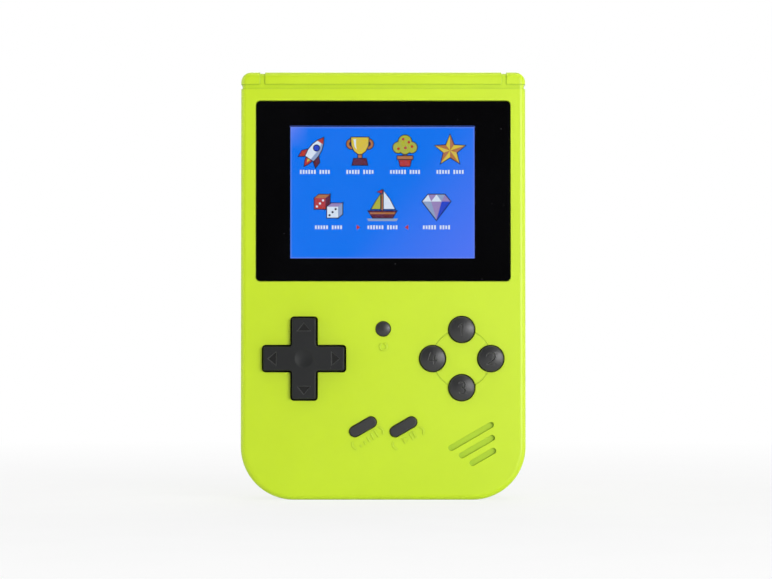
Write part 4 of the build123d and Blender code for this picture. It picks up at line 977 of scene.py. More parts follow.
@dataclass
class BlockRow:
    """A straight row of small blocks, such as contacts or the strokes of a blank caption."""

    count: int
    pitch: float
    block: Triple
    shortest: float = 1.0
    seed: int = 0

    TREE = "row_of_blocks"

    def tree(self) -> bpy.types.GeometryNodeTree:
        """Builds the tree that all rows share at its first use.

        Returns:
            The shared tree.
        """
        if self.TREE in bpy.data.node_groups:
            return bpy.data.node_groups[self.TREE]
        tree = bpy.data.node_groups.new(self.TREE, "GeometryNodeTree")
        plan = {
            "Count": "Int", "Pitch": "Float", "Block": "Vector", "Shortest": "Float", "Seed": "Int",
            "Finish": "Material",
        }
        for label, kind in plan.items():
            tree.interface.new_socket(label, in_out="INPUT", socket_type=f"NodeSocket{kind}")
        tree.interface.new_socket("Geometry", in_out="OUTPUT", socket_type="NodeSocketGeometry")
        desk = Desk(tree)
        come = desk.add("NodeGroupInput").outputs
        last = desk.math("SUBTRACT", come["Count"], 1.0)
        half = desk.math("MULTIPLY", desk.math("MULTIPLY", last, come["Pitch"]), -0.5)
        start = desk.add("ShaderNodeCombineXYZ", {0: half}).outputs[0]
        step = desk.add("ShaderNodeCombineXYZ", {0: come["Pitch"]}).outputs[0]
        line = desk.add("GeometryNodeMeshLine", {
            "Count": come["Count"], "Start Location": start, "Offset": step,
        })
        low = desk.add("ShaderNodeCombineXYZ", {0: 1.0, 1: 1.0, 2: come["Shortest"]}).outputs[0]
        swing = desk.add("FunctionNodeRandomValue", {
            0: low, 1: (1.0, 1.0, 1.0), "Seed": come["Seed"],
        }, data_type="FLOAT_VECTOR")
        cube = desk.add("GeometryNodeMeshCube", {"Size": come["Block"]})
        placed = desk.add("GeometryNodeInstanceOnPoints", {
            "Points": line.outputs[0], "Instance": cube.outputs[0], "Scale": swing.outputs[0],
        })
        solid = desk.add("GeometryNodeRealizeInstances", {"Geometry": placed.outputs[0]})
        dressed = desk.add("GeometryNodeSetMaterial", {
            "Geometry": solid.outputs[0], "Material": come["Finish"],
        })
        desk.add("NodeGroupOutput", {0: dressed.outputs[0]})
        return tree

    def bake(self, material: Material) -> Mesh:
        """Turns the row into a plain mesh round the origin.

        Args:
            material: The blocks' material.

        Returns:
            The baked mesh.
        """
        carrier = piece_from("row_carrier", bpy.data.meshes.new("row_carrier"))
        modifier = carrier.modifiers.new("row", "NODES")
        modifier.node_group = self.tree()
        values = {
            "Count": self.count, "Pitch": self.pitch, "Block": self.block,
            "Shortest": self.shortest, "Seed": self.seed, "Finish": material,
        }
        for item in self.tree().interface.items_tree:
            if item.in_out == "INPUT":
                modifier[item.identifier] = values[item.name]
        carrier.update_tag()
        graph = bpy.context.evaluated_depsgraph_get()
        mesh = bpy.data.meshes.new_from_object(carrier.evaluated_get(graph), depsgraph=graph)
        bpy.data.objects.remove(carrier)
        return mesh


def joined(name: str, parts: Sequence[tuple[Mesh, Vector]]) -> Mesh:
    """Joins meshes, each moved to its place.

    Args:
        name: Name of the new mesh.
        parts: Each mesh with its place.

    Returns:
        One mesh that keeps the first part's material.
    """
    shape = bmesh.new()
    for mesh, place in parts:
        before = len(shape.verts)
        shape.from_mesh(mesh)
        shape.verts.ensure_lookup_table()
        for vert in shape.verts[before:]:
            vert.co += place
    mesh = finished_mesh(name, shape)
    for material in parts[0][0].materials:
        mesh.materials.append(material)
    return mesh


# The drawn menu


class Paint(Enum):
    """Colours of the drawn menu."""

    INK = srgb(14, 12, 26)
    OLIVE = srgb(178, 180, 36)
    OCHRE = srgb(180, 114, 42)
    RUST = srgb(184, 54, 20)
    MAROON = srgb(98, 34, 26)
    WHITE = srgb(224, 234, 244)
    SILVER = srgb(146, 164, 196)
    LILAC = srgb(156, 134, 182)
    NAVY = srgb(38, 66, 196)
    GOLD = srgb(222, 194, 44)


def disc(x: float, y: float, radius: float, count: int = 28) -> list[Point]:
    """Returns the points of a circle."""
    turn = 2 * math.pi / count
    return [(x + radius * math.cos(turn * i), y + radius * math.sin(turn * i)) for i in range(count)]


def turned(points: Sequence[Point], degrees: float) -> list[Point]:
    """Returns points turned about the drawing's middle."""
    cosine, sine = math.cos(math.radians(degrees)), math.sin(math.radians(degrees))
    return [(x * cosine - y * sine, x * sine + y * cosine) for x, y in points]


def grown(points: Sequence[Point], reach: float, sharpest: float = 0.7) -> list[Point]:
    """Moves an outline outwards, for the dark line round a shape.

    Args:
        points: The outline, either way round.
        reach: How far out.
        sharpest: Keeps the points of sharp corners near: the lower, the longer they get.

    Returns:
        The wider outline.
    """
    after = [*points[1:], points[0]]
    area = sum(here[0] * there[1] - there[0] * here[1] for here, there in zip(points, after))
    way = 1.0 if area > 0 else -1.0
    wide = []
    for index, here in enumerate(points):
        last, following = points[index - 1], after[index]
        first = Vector((here[1] - last[1], last[0] - here[0])).normalized() * way
        second = Vector((following[1] - here[1], here[0] - following[0])).normalized() * way
        out = first + second
        out = out * (2 * reach / max(out.length_squared, sharpest))
        wide.append((here[0] + out.x, here[1] + out.y))
    return wide


Stroke = tuple[list[Point], Paint, bool]


class Motif(Enum):
    """Plain signs of the menu."""

    STAR = "star"
    ROCKET = "rocket"
    TREE = "tree"
    CUP = "cup"
    DICE = "dice"
    BOAT = "boat"
    GEM = "gem"


class MotifBook:
    """Draws each sign in millimetres round its own middle, about eight wide.

    A stroke is an outline, its colour, and whether a dark line goes round it.
    """

    def strokes(self, motif: Motif) -> list[Stroke]:
        """Draws a sign.

        Args:
            motif: Which sign.

        Returns:
            Its strokes from back to front.
        """
        makers = {
            Motif.STAR: self._star, Motif.ROCKET: self._rocket, Motif.TREE: self._tree,
            Motif.CUP: self._cup, Motif.DICE: self._dice, Motif.BOAT: self._boat, Motif.GEM: self._gem,
        }
        return makers[motif]()

    def _star(self) -> list[Stroke]:
        """A five-pointed star with a light and a dark half in each arm.

        Returns:
            Its strokes.
        """
        arms, outer, inner = 5, 3.6, 1.55
        points = []
        for index in range(2 * arms):
            radius = inner if index % 2 else outer
            angle = math.pi / 2 + index * math.pi / arms
            points.append((radius * math.cos(angle), radius * math.sin(angle)))
        strokes: list[Stroke] = [(points, Paint.GOLD, True)]
        for index in range(0, 2 * arms, 2):
            strokes.append(([(0.0, 0.0), points[index - 1], points[index]], Paint.OCHRE, False))
        return strokes

    def _rocket(self) -> list[Stroke]:
        """A tilted rocket with fins, a window and a flame.

        Returns:
            Its strokes.
        """
        tilt = -34
        hull = [
            (-1.1, -2.2), (1.1, -2.2), (1.35, -0.6), (1.2, 1.0), (0.7, 2.4), (0.0, 3.5), (-0.7, 2.4),
            (-1.2, 1.0), (-1.35, -0.6),
        ]
        shade = [(0.35, -2.2), *hull[1:6], (0.35, 2.2), (0.6, 0.4)]
        nose = [(-0.78, 2.2), (0.78, 2.2), (0.0, 3.5)]
        left = [(-1.25, -0.4), (-1.1, -2.2), (-2.3, -3.1), (-2.4, -1.7)]
        right = [(-x, y) for x, y in left]
        flame = [(-0.8, -2.2), (0.8, -2.2), (0.5, -3.3), (0.0, -4.2), (-0.5, -3.3)]
        core = [(-0.4, -2.2), (0.4, -2.2), (0.0, -3.3)]
        plan: list[Stroke] = [
            (flame, Paint.RUST, True), (core, Paint.GOLD, False), (left, Paint.RUST, True),
            (right, Paint.MAROON, True), (hull, Paint.WHITE, True), (shade, Paint.SILVER, False),
            (nose, Paint.RUST, False), (disc(0.0, 0.7, 0.62), Paint.NAVY, True),
        ]
        return [(turned(outline, tilt), paint, line) for outline, paint, line in plan]

    def _tree(self) -> list[Stroke]:
        """A round tree in a pot.

        Returns:
            Its strokes.
        """
        trunk = [(-0.35, -1.8), (0.35, -1.8), (0.3, 0.4), (-0.3, 0.4)]
        leaves = ((-1.5, 0.7, 1.25), (1.5, 0.7, 1.25), (0.0, 2.0, 1.5), (0.0, 0.6, 1.4))
        blends = ((-1.5, 0.75, 1.2), (1.5, 0.75, 1.2), (0.0, 1.9, 1.45))
        fruit = ((-1.5, 0.4), (0.9, 1.9), (1.6, 0.9), (-0.4, 2.6), (0.1, 0.6))
        pot = [(-1.5, -1.7), (1.5, -1.7), (1.05, -3.6), (-1.05, -3.6)]
        rim = [(-1.75, -1.3), (1.75, -1.3), (1.75, -2.0), (-1.75, -2.0)]
        return [
            (trunk, Paint.OCHRE, True), *((disc(*leaf), Paint.OLIVE, True) for leaf in leaves),
            *((disc(*blend), Paint.OLIVE, False) for blend in blends),
            *((disc(x, y, 0.32, count=12), Paint.RUST, False) for x, y in fruit),
            (pot, Paint.RUST, True), (rim, Paint.OCHRE, True),
        ]

    def _cup(self) -> list[Stroke]:
        """A two-handled cup on a foot.

        Returns:
            Its strokes.
        """
        strokes: list[Stroke] = []
        for side in (-1, 1):
            strokes.append((disc(side * 1.9, 1.5, 1.15), Paint.OCHRE, True))
            strokes.append((disc(side * 1.9, 1.5, 0.6, count=18), Paint.INK, False))
        bowl = [
            (-2.0, 3.0), (2.0, 3.0), (1.9, 1.2), (1.3, -0.1), (0.4, -0.8), (-0.4, -0.8), (-1.3, -0.1),
            (-1.9, 1.2),
        ]
        shine = [(-1.5, 2.6), (-0.9, 2.6), (-0.9, 1.0), (-0.7, 0.2), (-1.2, 0.8)]
        stem = [(-0.4, -0.8), (0.4, -0.8), (0.4, -1.9), (-0.4, -1.9)]
        foot = [(-1.4, -1.9), (1.4, -1.9), (1.7, -3.3), (-1.7, -3.3)]
        return strokes + [
            (stem, Paint.OCHRE, True), (foot, Paint.MAROON, True), (bowl, Paint.GOLD, True),
            (shine, Paint.WHITE, False),
        ]

    def _dice(self) -> list[Stroke]:
        """Two dice, one in front of the other.

        Returns:
            Their strokes.
        """
        strokes: list[Stroke] = []
        dice = (
            (-1.6, 0.8, Paint.RUST, Paint.MAROON, Paint.OCHRE, Paint.WHITE),
            (1.3, -1.2, Paint.WHITE, Paint.SILVER, Paint.LILAC, Paint.INK),
        )
        for x, y, face, side, top, pip in dice:
            front = [(x - 1.6, y - 1.5), (x + 0.9, y - 1.5), (x + 0.9, y + 1.0), (x - 1.6, y + 1.0)]
            right = [(x + 0.9, y - 1.5), (x + 1.9, y - 0.7), (x + 1.9, y + 1.8), (x + 0.9, y + 1.0)]
            above = [(x - 1.6, y + 1.0), (x + 0.9, y + 1.0), (x + 1.9, y + 1.8), (x - 0.6, y + 1.8)]
            for line in (True, False):
                strokes += [(front, face, line), (right, side, line), (above, top, line)]
            for pip_x, pip_y in ((-1.05, -0.95), (-0.35, -0.25), (0.35, 0.45)):
                strokes.append((disc(x + pip_x, y + pip_y, 0.26, count=12), pip, False))
        return strokes

    def _boat(self) -> list[Stroke]:
        """A sailing boat on a wave.

        Returns:
            Its strokes.
        """
        hull = [(-3.2, -1.2), (3.2, -1.2), (2.3, -2.7), (-2.2, -2.7)]
        band = [(-3.0, -1.5), (3.0, -1.5), (2.8, -1.9), (-2.8, -1.9)]
        mast = [(-0.2, -1.2), (0.1, -1.2), (0.1, 3.6), (-0.2, 3.6)]
        main = [(0.3, -0.7), (2.8, -0.7), (1.6, 1.6), (0.3, 3.3)]
        jib = [(-0.5, -0.7), (-2.5, -0.7), (-1.4, 1.2), (-0.5, 2.6)]
        flag = [(-0.05, 3.6), (-1.2, 3.2), (-0.05, 2.9)]
        wave = [(-3.6, -2.9), (3.6, -2.9), (3.2, -3.5), (-3.2, -3.5)]
        return [
            (wave, Paint.SILVER, False), (mast, Paint.OCHRE, True), (main, Paint.WHITE, True),
            (jib, Paint.OLIVE, True), (flag, Paint.RUST, True), (hull, Paint.MAROON, True),
            (band, Paint.OCHRE, False),
        ]

    def _gem(self) -> list[Stroke]:
        """A cut stone with light and dark facets.

        Returns:
            Its strokes.
        """
        west, east, tip = (-3.2, 1.0), (3.2, 1.0), (0.0, -3.2)
        crown = ((-1.9, 2.6), (0.0, 2.6), (1.9, 2.6))
        left, right = (-1.2, 1.0), (1.2, 1.0)
        facets = (
            ([west, crown[0], left], Paint.WHITE), ([crown[0], crown[1], left], Paint.LILAC),
            ([left, crown[1], right], Paint.WHITE), ([crown[1], crown[2], right], Paint.SILVER),
            ([crown[2], east, right], Paint.LILAC), ([west, left, tip], Paint.SILVER),
            ([left, right, tip], Paint.LILAC), ([right, east, tip], Paint.NAVY),
        )
        strokes: list[Stroke] = [([west, crown[0], crown[2], east, tip], Paint.LILAC, True)]
        return strokes + [(points, paint, False) for points, paint in facets]


@dataclass
class PictureSheet:
    """Thin lit shapes laid on the display, each a closed flat prism."""

    base_y: float
    layer: float = 0.012 * MM
    thick: float = 0.008 * MM
    line_mm: float = 0.24
    shape: Shape = field(default_factory=bmesh.new)
    paints: list[Colour] = field(default_factory=list)
    level: int = 0

    def lay(self, outline: Sequence[Point], paint: Paint) -> None:
        """Lays one shape over what is there.

        Args:
            outline: Its points in metres.
            paint: Its colour.
        """
        back_y = self.base_y - self.level * self.layer
        back = ring_of(self.shape, outline, back_y)
        front = ring_of(self.shape, outline, back_y - self.thick)
        before = len(self.shape.faces)
        bridge(self.shape, back, front)
        self.shape.faces.new(back)
        self.shape.faces.new(front)
        self.paints += [paint.value] * (len(self.shape.faces) - before)

    def draw(self, strokes: Sequence[Stroke], center: Point, scale: float) -> None:
        """Draws a sign.

        Args:
            strokes: Its shapes from back to front, in millimetres.
            center: Its middle on the display, in metres.
            scale: Its size against the drawing.
        """
        self.level = 0
        for points, paint, line in strokes:
            placed = [(center[0] + x * scale * MM, center[1] + y * scale * MM) for x, y in points]
            if line:
                self.level += 1
                self.lay(grown(placed, self.line_mm * MM), Paint.INK)
            self.level += 1
            self.lay(placed, paint)

    def mesh(self, name: str, attribute: str) -> Mesh:
        """Turns the sheet into a mesh.

        Args:
            name: The mesh's name.
            attribute: Name of the attribute that keeps its colours.

        Returns:
            The mesh.
        """
        mesh = finished_mesh(name, self.shape)
        layer = mesh.color_attributes.new(attribute, "FLOAT_COLOR", "CORNER")
        for face in mesh.polygons:
            for corner in face.loop_indices:
                layer.data[corner].color = self.paints[face.index]
        return mesh


# Sub-assemblies


@dataclass
class SubAssembly:
    """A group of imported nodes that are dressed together."""

    wardrobe: Wardrobe

    def finishes(self) -> dict[str, Look]:
        """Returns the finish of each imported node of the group."""
        return {}

    def build(self) -> list[Piece]:
        """Makes the group's own pieces and returns them."""
        return []

    def dress(self) -> list[str]:
        """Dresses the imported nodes.

        Returns:
            Their names.
        """
        for node, look in self.finishes().items():
            self.wardrobe.dress(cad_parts[node], look.value)
        return sorted(self.finishes())


@dataclass
class Case(SubAssembly):
    """Both shells, the battery cover and the screws."""

    def finishes(self) -> dict[str, Look]:
        """Chooses the finishes.

        Returns:
            The finish of each node.
        """
        return {
            "front_shell": Look.CASE, "rear_shell": Look.CASE, "battery_cover": Look.CASE,
            "case_screws": Look.STEEL, "board_screws": Look.STEEL,
        }


@dataclass
class Screen(SubAssembly):
    """Lens with its printed rim and clear window, and the lit display behind it."""

    corner: float = 1.1 * MM
    front_edge: float = 0.15 * MM
    edge_profile: tuple[Point, ...] = ((1.0, 0.0), (0.3, 0.3), (0.0, 1.0))
    lit_size_mm: Point = (49.8, 35.6)
    lit_center_mm: Point = (-0.2, 82.9)
    print_margin: float = 0.1 * MM
    window_corner: float = 0.3 * MM
    hairline: float = 0.01 * MM
    sign_lift: float = 0.005 * MM
    sign_scale: float = 1.18
    upper_signs: tuple[Motif, ...] = (Motif.ROCKET, Motif.CUP, Motif.TREE, Motif.STAR)
    lower_signs: tuple[Motif, ...] = (Motif.DICE, Motif.BOAT, Motif.GEM)
    upper_pitch_mm: float = 12.2
    lower_pitch_mm: float = 14.6
    upper_z_mm: float = 11.4
    lower_z_mm: float = -3.6
    caption_block: Triple = (0.46 * MM, 0.008 * MM, 1.15 * MM)
    caption_pitch: float = 0.76 * MM
    caption_drop: float = 5.8 * MM
    caption_lift: float = 0.02 * MM
    caption_seed: int = 7
    caption_shortest: float = 0.82
    first_word: tuple[int, int] = (5, 7)
    second_word: tuple[int, int] = (4, 5)
    chosen: Motif = Motif.BOAT
    pointer_ends: Point = (6.0 * MM, 7.0 * MM)
    pointer_half: float = 0.7 * MM

    def finishes(self) -> dict[str, Look]:
        """Chooses the finishes.

        Returns:
            The finish of each node behind the lens, apart from the display glass.
        """
        return {
            "lens_tape": Look.TAPE, "lcd_gasket": Look.FOAM, "lcd_backlight": Look.GUIDE,
            "lcd_frame": Look.STEEL, "lcd_pads": Look.FOAM, "lcd_ribbon": Look.FILM,
        }

    def dress(self) -> list[str]:
        """Dresses the nodes and lights the display glass.

        Returns:
            Their names.
        """
        lit = DisplayFinish("display_lit", self.lit_center_mm, self.lit_size_mm)
        self.wardrobe.dress(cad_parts["lcd_glass"], lit)
        return super().dress() + ["lcd_glass"]

    def build(self) -> list[Piece]:
        """Makes the rim, the pane and the menu and returns them."""
        return [self._rim(), self._pane(), self._menu(), self._captions(), self._pointer()]

    def _lens_box(self) -> tuple[Point, Point, float, float]:
        """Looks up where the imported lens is.

        Returns:
            Its middle and size seen from the front, and its front and back depths.
        """
        low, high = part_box("screen_lens")
        center = ((low[0] + high[0]) / 2, (low[2] + high[2]) / 2)
        return center, (high[0] - low[0], high[2] - low[2]), low[1], high[1]

    def _window(self, shrink: float) -> list[Point]:
        """Works out the outline of the clear window.

        Args:
            shrink: How far it is drawn in.

        Returns:
            Its points.
        """
        center = (self.lit_center_mm[0] * MM, self.lit_center_mm[1] * MM)
        size = [side * MM + 2 * (self.print_margin - shrink) for side in self.lit_size_mm]
        return rounded_outline(center, size, self.window_corner)

    def _rim(self) -> Piece:
        """Makes the black printed rim of the lens, with its front edge rounded.

        Returns:
            The piece.
        """
        center, size, front_y, back_y = self._lens_box()
        shape = bmesh.new()
        outer = []
        for inset, drop in self.edge_profile:
            margin = inset * self.front_edge
            outline = rounded_outline(center, [side - 2 * margin for side in size], self.corner - margin)
            outer.append(ring_of(shape, outline, front_y + drop * self.front_edge))
        outer.append(ring_of(shape, rounded_outline(center, size, self.corner), back_y))
        window_front = ring_of(shape, self._window(0.0), front_y)
        window_back = ring_of(shape, self._window(0.0), back_y)
        rings = (window_front, *outer, window_back, window_front)
        for first, second in zip(rings, rings[1:]):
            bridge(shape, first, second)
        piece = piece_from("lens_rim", finished_mesh("lens_rim", shape))
        self.wardrobe.dress(piece, Look.LENS.value)
        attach(piece, "case")
        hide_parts("screen_lens")
        return piece

    def _pane(self) -> Piece:
        """Makes the clear window of the lens.

        Returns:
            The piece.
        """
        _, _, front_y, back_y = self._lens_box()
        shape = bmesh.new()
        front = ring_of(shape, self._window(self.hairline), front_y)
        back = ring_of(shape, self._window(self.hairline), back_y)
        bridge(shape, front, back)
        shape.faces.new(front)
        shape.faces.new(back)
        piece = piece_from("lens_pane", finished_mesh("lens_pane", shape))
        self.wardrobe.dress(piece, Look.PANE.value)
        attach(piece, "case")
        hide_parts("screen_lens")
        return piece

    def _places(self) -> dict[Motif, Point]:
        """Works out where the signs stand.

        Returns:
            Each sign's middle on the display, in metres.
        """
        places = {}
        plan = (
            (self.upper_signs, self.upper_pitch_mm, self.upper_z_mm),
            (self.lower_signs, self.lower_pitch_mm, self.lower_z_mm),
        )
        for signs, pitch, z in plan:
            for index, motif in enumerate(signs):
                x = (index - (len(signs) - 1) / 2) * pitch
                places[motif] = ((self.lit_center_mm[0] + x) * MM, (self.lit_center_mm[1] + z) * MM)
        return places

    def _glass_y(self) -> float:
        """Returns the depth of the display glass's front."""
        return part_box("lcd_glass")[0][1]

    def _menu(self) -> Piece:
        """Draws the signs of the menu.

        Returns:
            The piece.
        """
        sheet = PictureSheet(self._glass_y() - self.sign_lift)
        book = MotifBook()
        for motif, center in self._places().items():
            sheet.draw(book.strokes(motif), center, self.sign_scale)
        piece = piece_from("menu_signs", sheet.mesh("menu_signs", Look.PICTURE.value.attribute))
        self.wardrobe.dress(piece, Look.PICTURE.value)
        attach(piece, "case")
        return piece

    def _captions(self) -> Piece:
        """Makes blank captions: two words of small light blocks under each sign.

        Returns:
            The piece.
        """
        material = self.wardrobe.material(Look.PICTURE.value)
        words = random.Random(self.caption_seed)
        pitch = self.caption_pitch
        parts = []
        for x, z in self._places().values():
            first, second = words.randint(*self.first_word), words.randint(*self.second_word)
            left = -(first + second) * pitch / 2
            for count, start in ((first, left), (second, left + (first + 1) * pitch)):
                seed = words.randint(0, 99)
                row = BlockRow(count, pitch, self.caption_block, self.caption_shortest, seed)
                middle = x + start + (count - 1) / 2 * pitch
                place = Vector((middle, self._glass_y() - self.caption_lift, z - self.caption_drop))
                parts.append((row.bake(material), place))
        mesh = joined("menu_captions", parts)
        layer = mesh.color_attributes.new(Look.PICTURE.value.attribute, "FLOAT_COLOR", "CORNER")
        for corner in layer.data:
            corner.color = Paint.WHITE.value
        piece = piece_from("menu_captions", mesh)
        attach(piece, "case")
        return piece

    def _pointer(self) -> Piece:
        """Makes two small wedges that mark the chosen sign.

        Returns:
            The piece.
        """
        sheet = PictureSheet(self._glass_y() - self.sign_lift, level=1)
        x, z = self._places()[self.chosen]
        z -= self.caption_drop
        for side in (-1, 1):
            tip, end = (x + side * reach for reach in self.pointer_ends)
            sheet.lay([(tip, z), (end, z + self.pointer_half), (end, z - self.pointer_half)], Paint.RUST)
        piece = piece_from("menu_pointer", sheet.mesh("menu_pointer", Look.PICTURE.value.attribute))
        self.wardrobe.dress(piece, Look.PICTURE.value)
        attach(piece, "case")
        return piece


@dataclass
class Controls(SubAssembly):
    """Direction pad, round keys, pill keys, and the rubber and carbon under them."""

    sides: tuple[str, ...] = ("top", "right", "bottom", "left")
    small: tuple[str, ...] = ("reset", "sound", "start")

    def finishes(self) -> dict[str, Look]:
        """Chooses the finishes.

        Returns:
            The finish of each node.
        """
        looks = {
            "d_pad": Look.PAD, "d_pad_pivot": Look.STEEL, "d_pad_pills": Look.CARBON,
            "d_pad_rubber": Look.RUBBER, "action_rubber": Look.RUBBER, "reset_rubber": Look.RUBBER,
            "menu_rubber": Look.RUBBER,
        }
        for side in self.sides:
            looks[f"button_{side}"] = Look.KEY
            looks[f"button_{side}_pill"] = Look.CARBON
        for name in self.small:
            looks[f"{name}_button"] = Look.KEY
            looks[f"{name}_pill"] = Look.CARBON
        return looks


@dataclass
class Electronics(SubAssembly):
    """Main board, what is soldered to it, the ports and the switch."""

    contact_count: int = 5
    contact_pitch: float = 0.65 * MM
    contact_block: Triple = (0.3 * MM, 0.06 * MM, 3.4 * MM)
    tongue_shift: float = 0.3 * MM
    contact_rise: float = 2.6 * MM

    def finishes(self) -> dict[str, Look]:
        """Chooses the finishes.

        Returns:
            The finish of each node.
        """
        return {
            "main_board": Look.BOARD, "game_chip": Look.RESIN, "memory_chip": Look.CHIP,
            "small_chips": Look.CHIP, "crystal": Look.CAN, "capacitors": Look.CAN,
            "smd_parts": Look.CERAMIC, "charge_port": Look.STEEL, "av_jack": Look.SOCKET,
            "power_switch_body": Look.STEEL, "power_switch_lever": Look.SOCKET, "power_knob": Look.KEY,
        }

    def build(self) -> list[Piece]:
        """Makes the gilt contacts on the charge port's tongue.

        Returns:
            The one piece.
        """
        low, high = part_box("charge_port")
        row = BlockRow(self.contact_count, self.contact_pitch, self.contact_block)
        material = self.wardrobe.material(Look.GILT.value)
        tongue_y = (low[1] + high[1]) / 2 - self.tongue_shift
        place = Vector(((low[0] + high[0]) / 2, tongue_y, low[2] + self.contact_rise))
        piece = piece_from("port_contacts", joined("port_contacts", [(row.bake(material), place)]))
        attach(piece, "case")
        return [piece]


@dataclass
class Sound(SubAssembly):
    """The speaker and its wires."""

    def finishes(self) -> dict[str, Look]:
        """Chooses the finishes.

        Returns:
            The finish of each node.
        """
        return {
            "speaker_frame": Look.SOCKET, "speaker_magnet": Look.MAGNET, "speaker_cone": Look.CONE,
            "speaker_gasket": Look.FOAM, "speaker_wires": Look.WIRE,
        }


@dataclass
class Power(SubAssembly):
    """The battery, its terminals and its contacts."""

    def finishes(self) -> dict[str, Look]:
        """Chooses the finishes.

        Returns:
            The finish of each node.
        """
        return {
            "battery": Look.WRAP, "battery_terminals": Look.GILT, "contact_block": Look.SOCKET,
            "battery_contacts": Look.GILT, "battery_wires": Look.WIRE,
        }


# Studio


@dataclass
class Softbox:
    """One large soft lamp."""

    name: str
    place: Triple
    size: float
    power: float


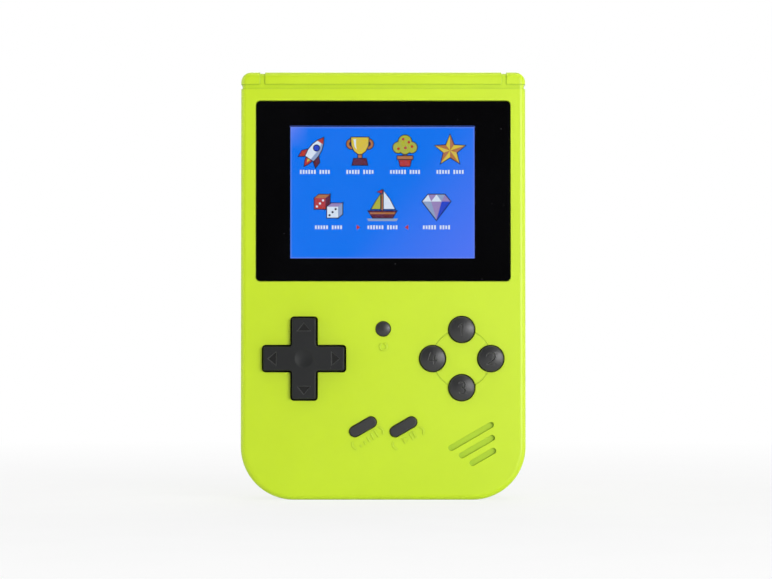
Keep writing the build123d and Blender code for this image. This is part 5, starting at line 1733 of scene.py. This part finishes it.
@dataclass
class Studio:
    """Pale floor, soft lamps, plain sky and the camera at the photograph's angle."""

    frame_width: float = 0.2084
    target: Triple = (0.00076, -0.0071, 0.05665)
    distance: float = 0.7
    elevation: float = -1.5
    sensor: float = 36.0
    clip: Point = (0.01, 20.0)
    sky: float = 0.26
    room_span: Point = (-0.8, -0.2)
    room_dark: float = 0.03
    floor_reach: float = 4.0
    floor_grain: float = 40.0
    floor_detail: float = 3.0
    floor_tones: Point = (0.84, 0.88)
    floor_fade: Point = (0.12, 0.5)
    floor_glow: float = 0.78
    lamps: tuple[Softbox, ...] = (
        Softbox("lamp_right", (0.40, -0.66, 0.10), 0.32, 4.2),
        Softbox("lamp_side", (0.74, -0.02, 0.12), 0.4, 0.9),
        Softbox("lamp_left", (-0.72, -0.02, 0.12), 1.0, 3.6),
        Softbox("lamp_top", (0.12, -0.30, 0.74), 0.5, 1.2),
        Softbox("lamp_back", (0.1, 0.75, 0.6), 0.7, 3.4),
    )

    def build(self) -> None:
        """Builds floor, sky, lamps and camera."""
        self._floor()
        self._sky()
        for lamp in self.lamps:
            self._lamp(lamp)
        self._camera()
        bpy.context.scene.view_settings.view_transform = "Standard"

    def _floor(self) -> None:
        """Lays a wide pale floor that keeps the shadow and fades to white."""
        reach = self.floor_reach
        corners = [(-reach, -reach, 0), (reach, -reach, 0), (reach, reach, 0), (-reach, reach, 0)]
        mesh = bpy.data.meshes.new("floor")
        mesh.from_pydata(corners, [], [(0, 1, 2, 3)])
        floor = piece_from("floor", mesh)
        material = bpy.data.materials.new("floor_pale")
        desk = Desk.cleared(material)
        place = desk.add("ShaderNodeTexCoord").outputs["Object"]
        away = desk.add("ShaderNodeVectorMath", {0: place}, operation="LENGTH").outputs["Value"]
        tone = desk.grey(desk.cloud(place, self.floor_grain, self.floor_detail, *self.floor_tones))
        matt = desk.add("ShaderNodeBsdfDiffuse", {"Color": tone})
        glow = desk.add("ShaderNodeEmission", {"Color": WHITE, "Strength": 1.0})
        path = desk.add("ShaderNodeLightPath")
        seen = desk.math("ADD", path.outputs["Is Camera Ray"], path.outputs["Is Glossy Ray"])
        seen = desk.math("ADD", seen, path.outputs["Is Transmission Ray"], clamp=True)
        share = desk.math("MULTIPLY", seen, desk.span(away, *self.floor_fade, self.floor_glow, 1.0))
        both = desk.add("ShaderNodeMixShader", {0: share, 1: matt.outputs[0], 2: glow.outputs[0]})
        desk.add("ShaderNodeOutputMaterial", {"Surface": both.outputs[0]})
        floor.data.materials.append(material)

    def _sky(self) -> None:
        """Makes a sky: white to the camera, plain on the object, its front darker in gloss."""
        world = bpy.data.worlds.new("studio")
        bpy.context.scene.world = world
        desk = Desk.cleared(world)
        path = desk.add("ShaderNodeLightPath")
        way = desk.add("ShaderNodeSeparateXYZ", {0: desk.add("ShaderNodeTexCoord").outputs["Generated"]})
        room = desk.grey(desk.span(way.outputs[1], *self.room_span, self.room_dark, 1.0))
        colour = desk.mix_colour(path.outputs["Is Glossy Ray"], desk.grey(self.sky), room)
        through = path.outputs["Is Transmission Ray"]
        seen = desk.math("ADD", path.outputs["Is Camera Ray"], through, clamp=True)
        back = desk.add("ShaderNodeBackground", {
            "Color": desk.mix_colour(seen, colour, WHITE), "Strength": 1.0,
        })
        desk.add("ShaderNodeOutputWorld", {"Surface": back.outputs[0]})

    def _lamp(self, lamp: Softbox) -> None:
        """Hangs one lamp that faces the console.

        Args:
            lamp: Its place, size and power.
        """
        data = bpy.data.lights.new(lamp.name, "AREA")
        data.size = lamp.size
        data.energy = lamp.power
        piece = bpy.data.objects.new(lamp.name, data)
        bpy.context.scene.collection.objects.link(piece)
        piece.location = lamp.place
        piece.rotation_mode = "QUATERNION"
        piece.rotation_quaternion = (Vector(self.target) - Vector(lamp.place)).to_track_quat("-Z", "Y")

    def _camera(self) -> None:
        """Sets up the camera at the photograph's angle and framing."""
        data = bpy.data.cameras.new("camera")
        data.sensor_width = self.sensor
        data.lens = self.sensor * self.distance / self.frame_width
        data.clip_start, data.clip_end = self.clip
        camera = bpy.data.objects.new("camera", data)
        bpy.context.scene.collection.objects.link(camera)
        rise = math.radians(self.elevation)
        back = Vector((0.0, -math.cos(rise), math.sin(rise)))
        camera.location = Vector(self.target) + back * self.distance
        camera.rotation_mode = "QUATERNION"
        camera.rotation_quaternion = (-back).to_track_quat("-Z", "Y")
        bpy.context.scene.camera = camera


def plain(box: tuple[Vector, Vector]) -> list[list[float]]:
    """Returns a box's corners as plain lists."""
    return [[float(value) for value in corner] for corner in box]


def main() -> None:
    """Builds and dresses every sub-assembly and reports each piece."""
    logging.basicConfig(level=logging.INFO, format="%(name)s: %(message)s")
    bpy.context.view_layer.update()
    wardrobe = Wardrobe()
    for kind in (Case, Screen, Controls, Electronics, Sound, Power):
        unit = kind(wardrobe)
        for piece in unit.build():
            LOG.info("%s built %s", kind.__name__, piece.name)
        for node in unit.dress():
            LOG.info("%s dressed %s", kind.__name__, node)
    Studio().build()
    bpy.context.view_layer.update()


if __name__ == "__main__":
    main()
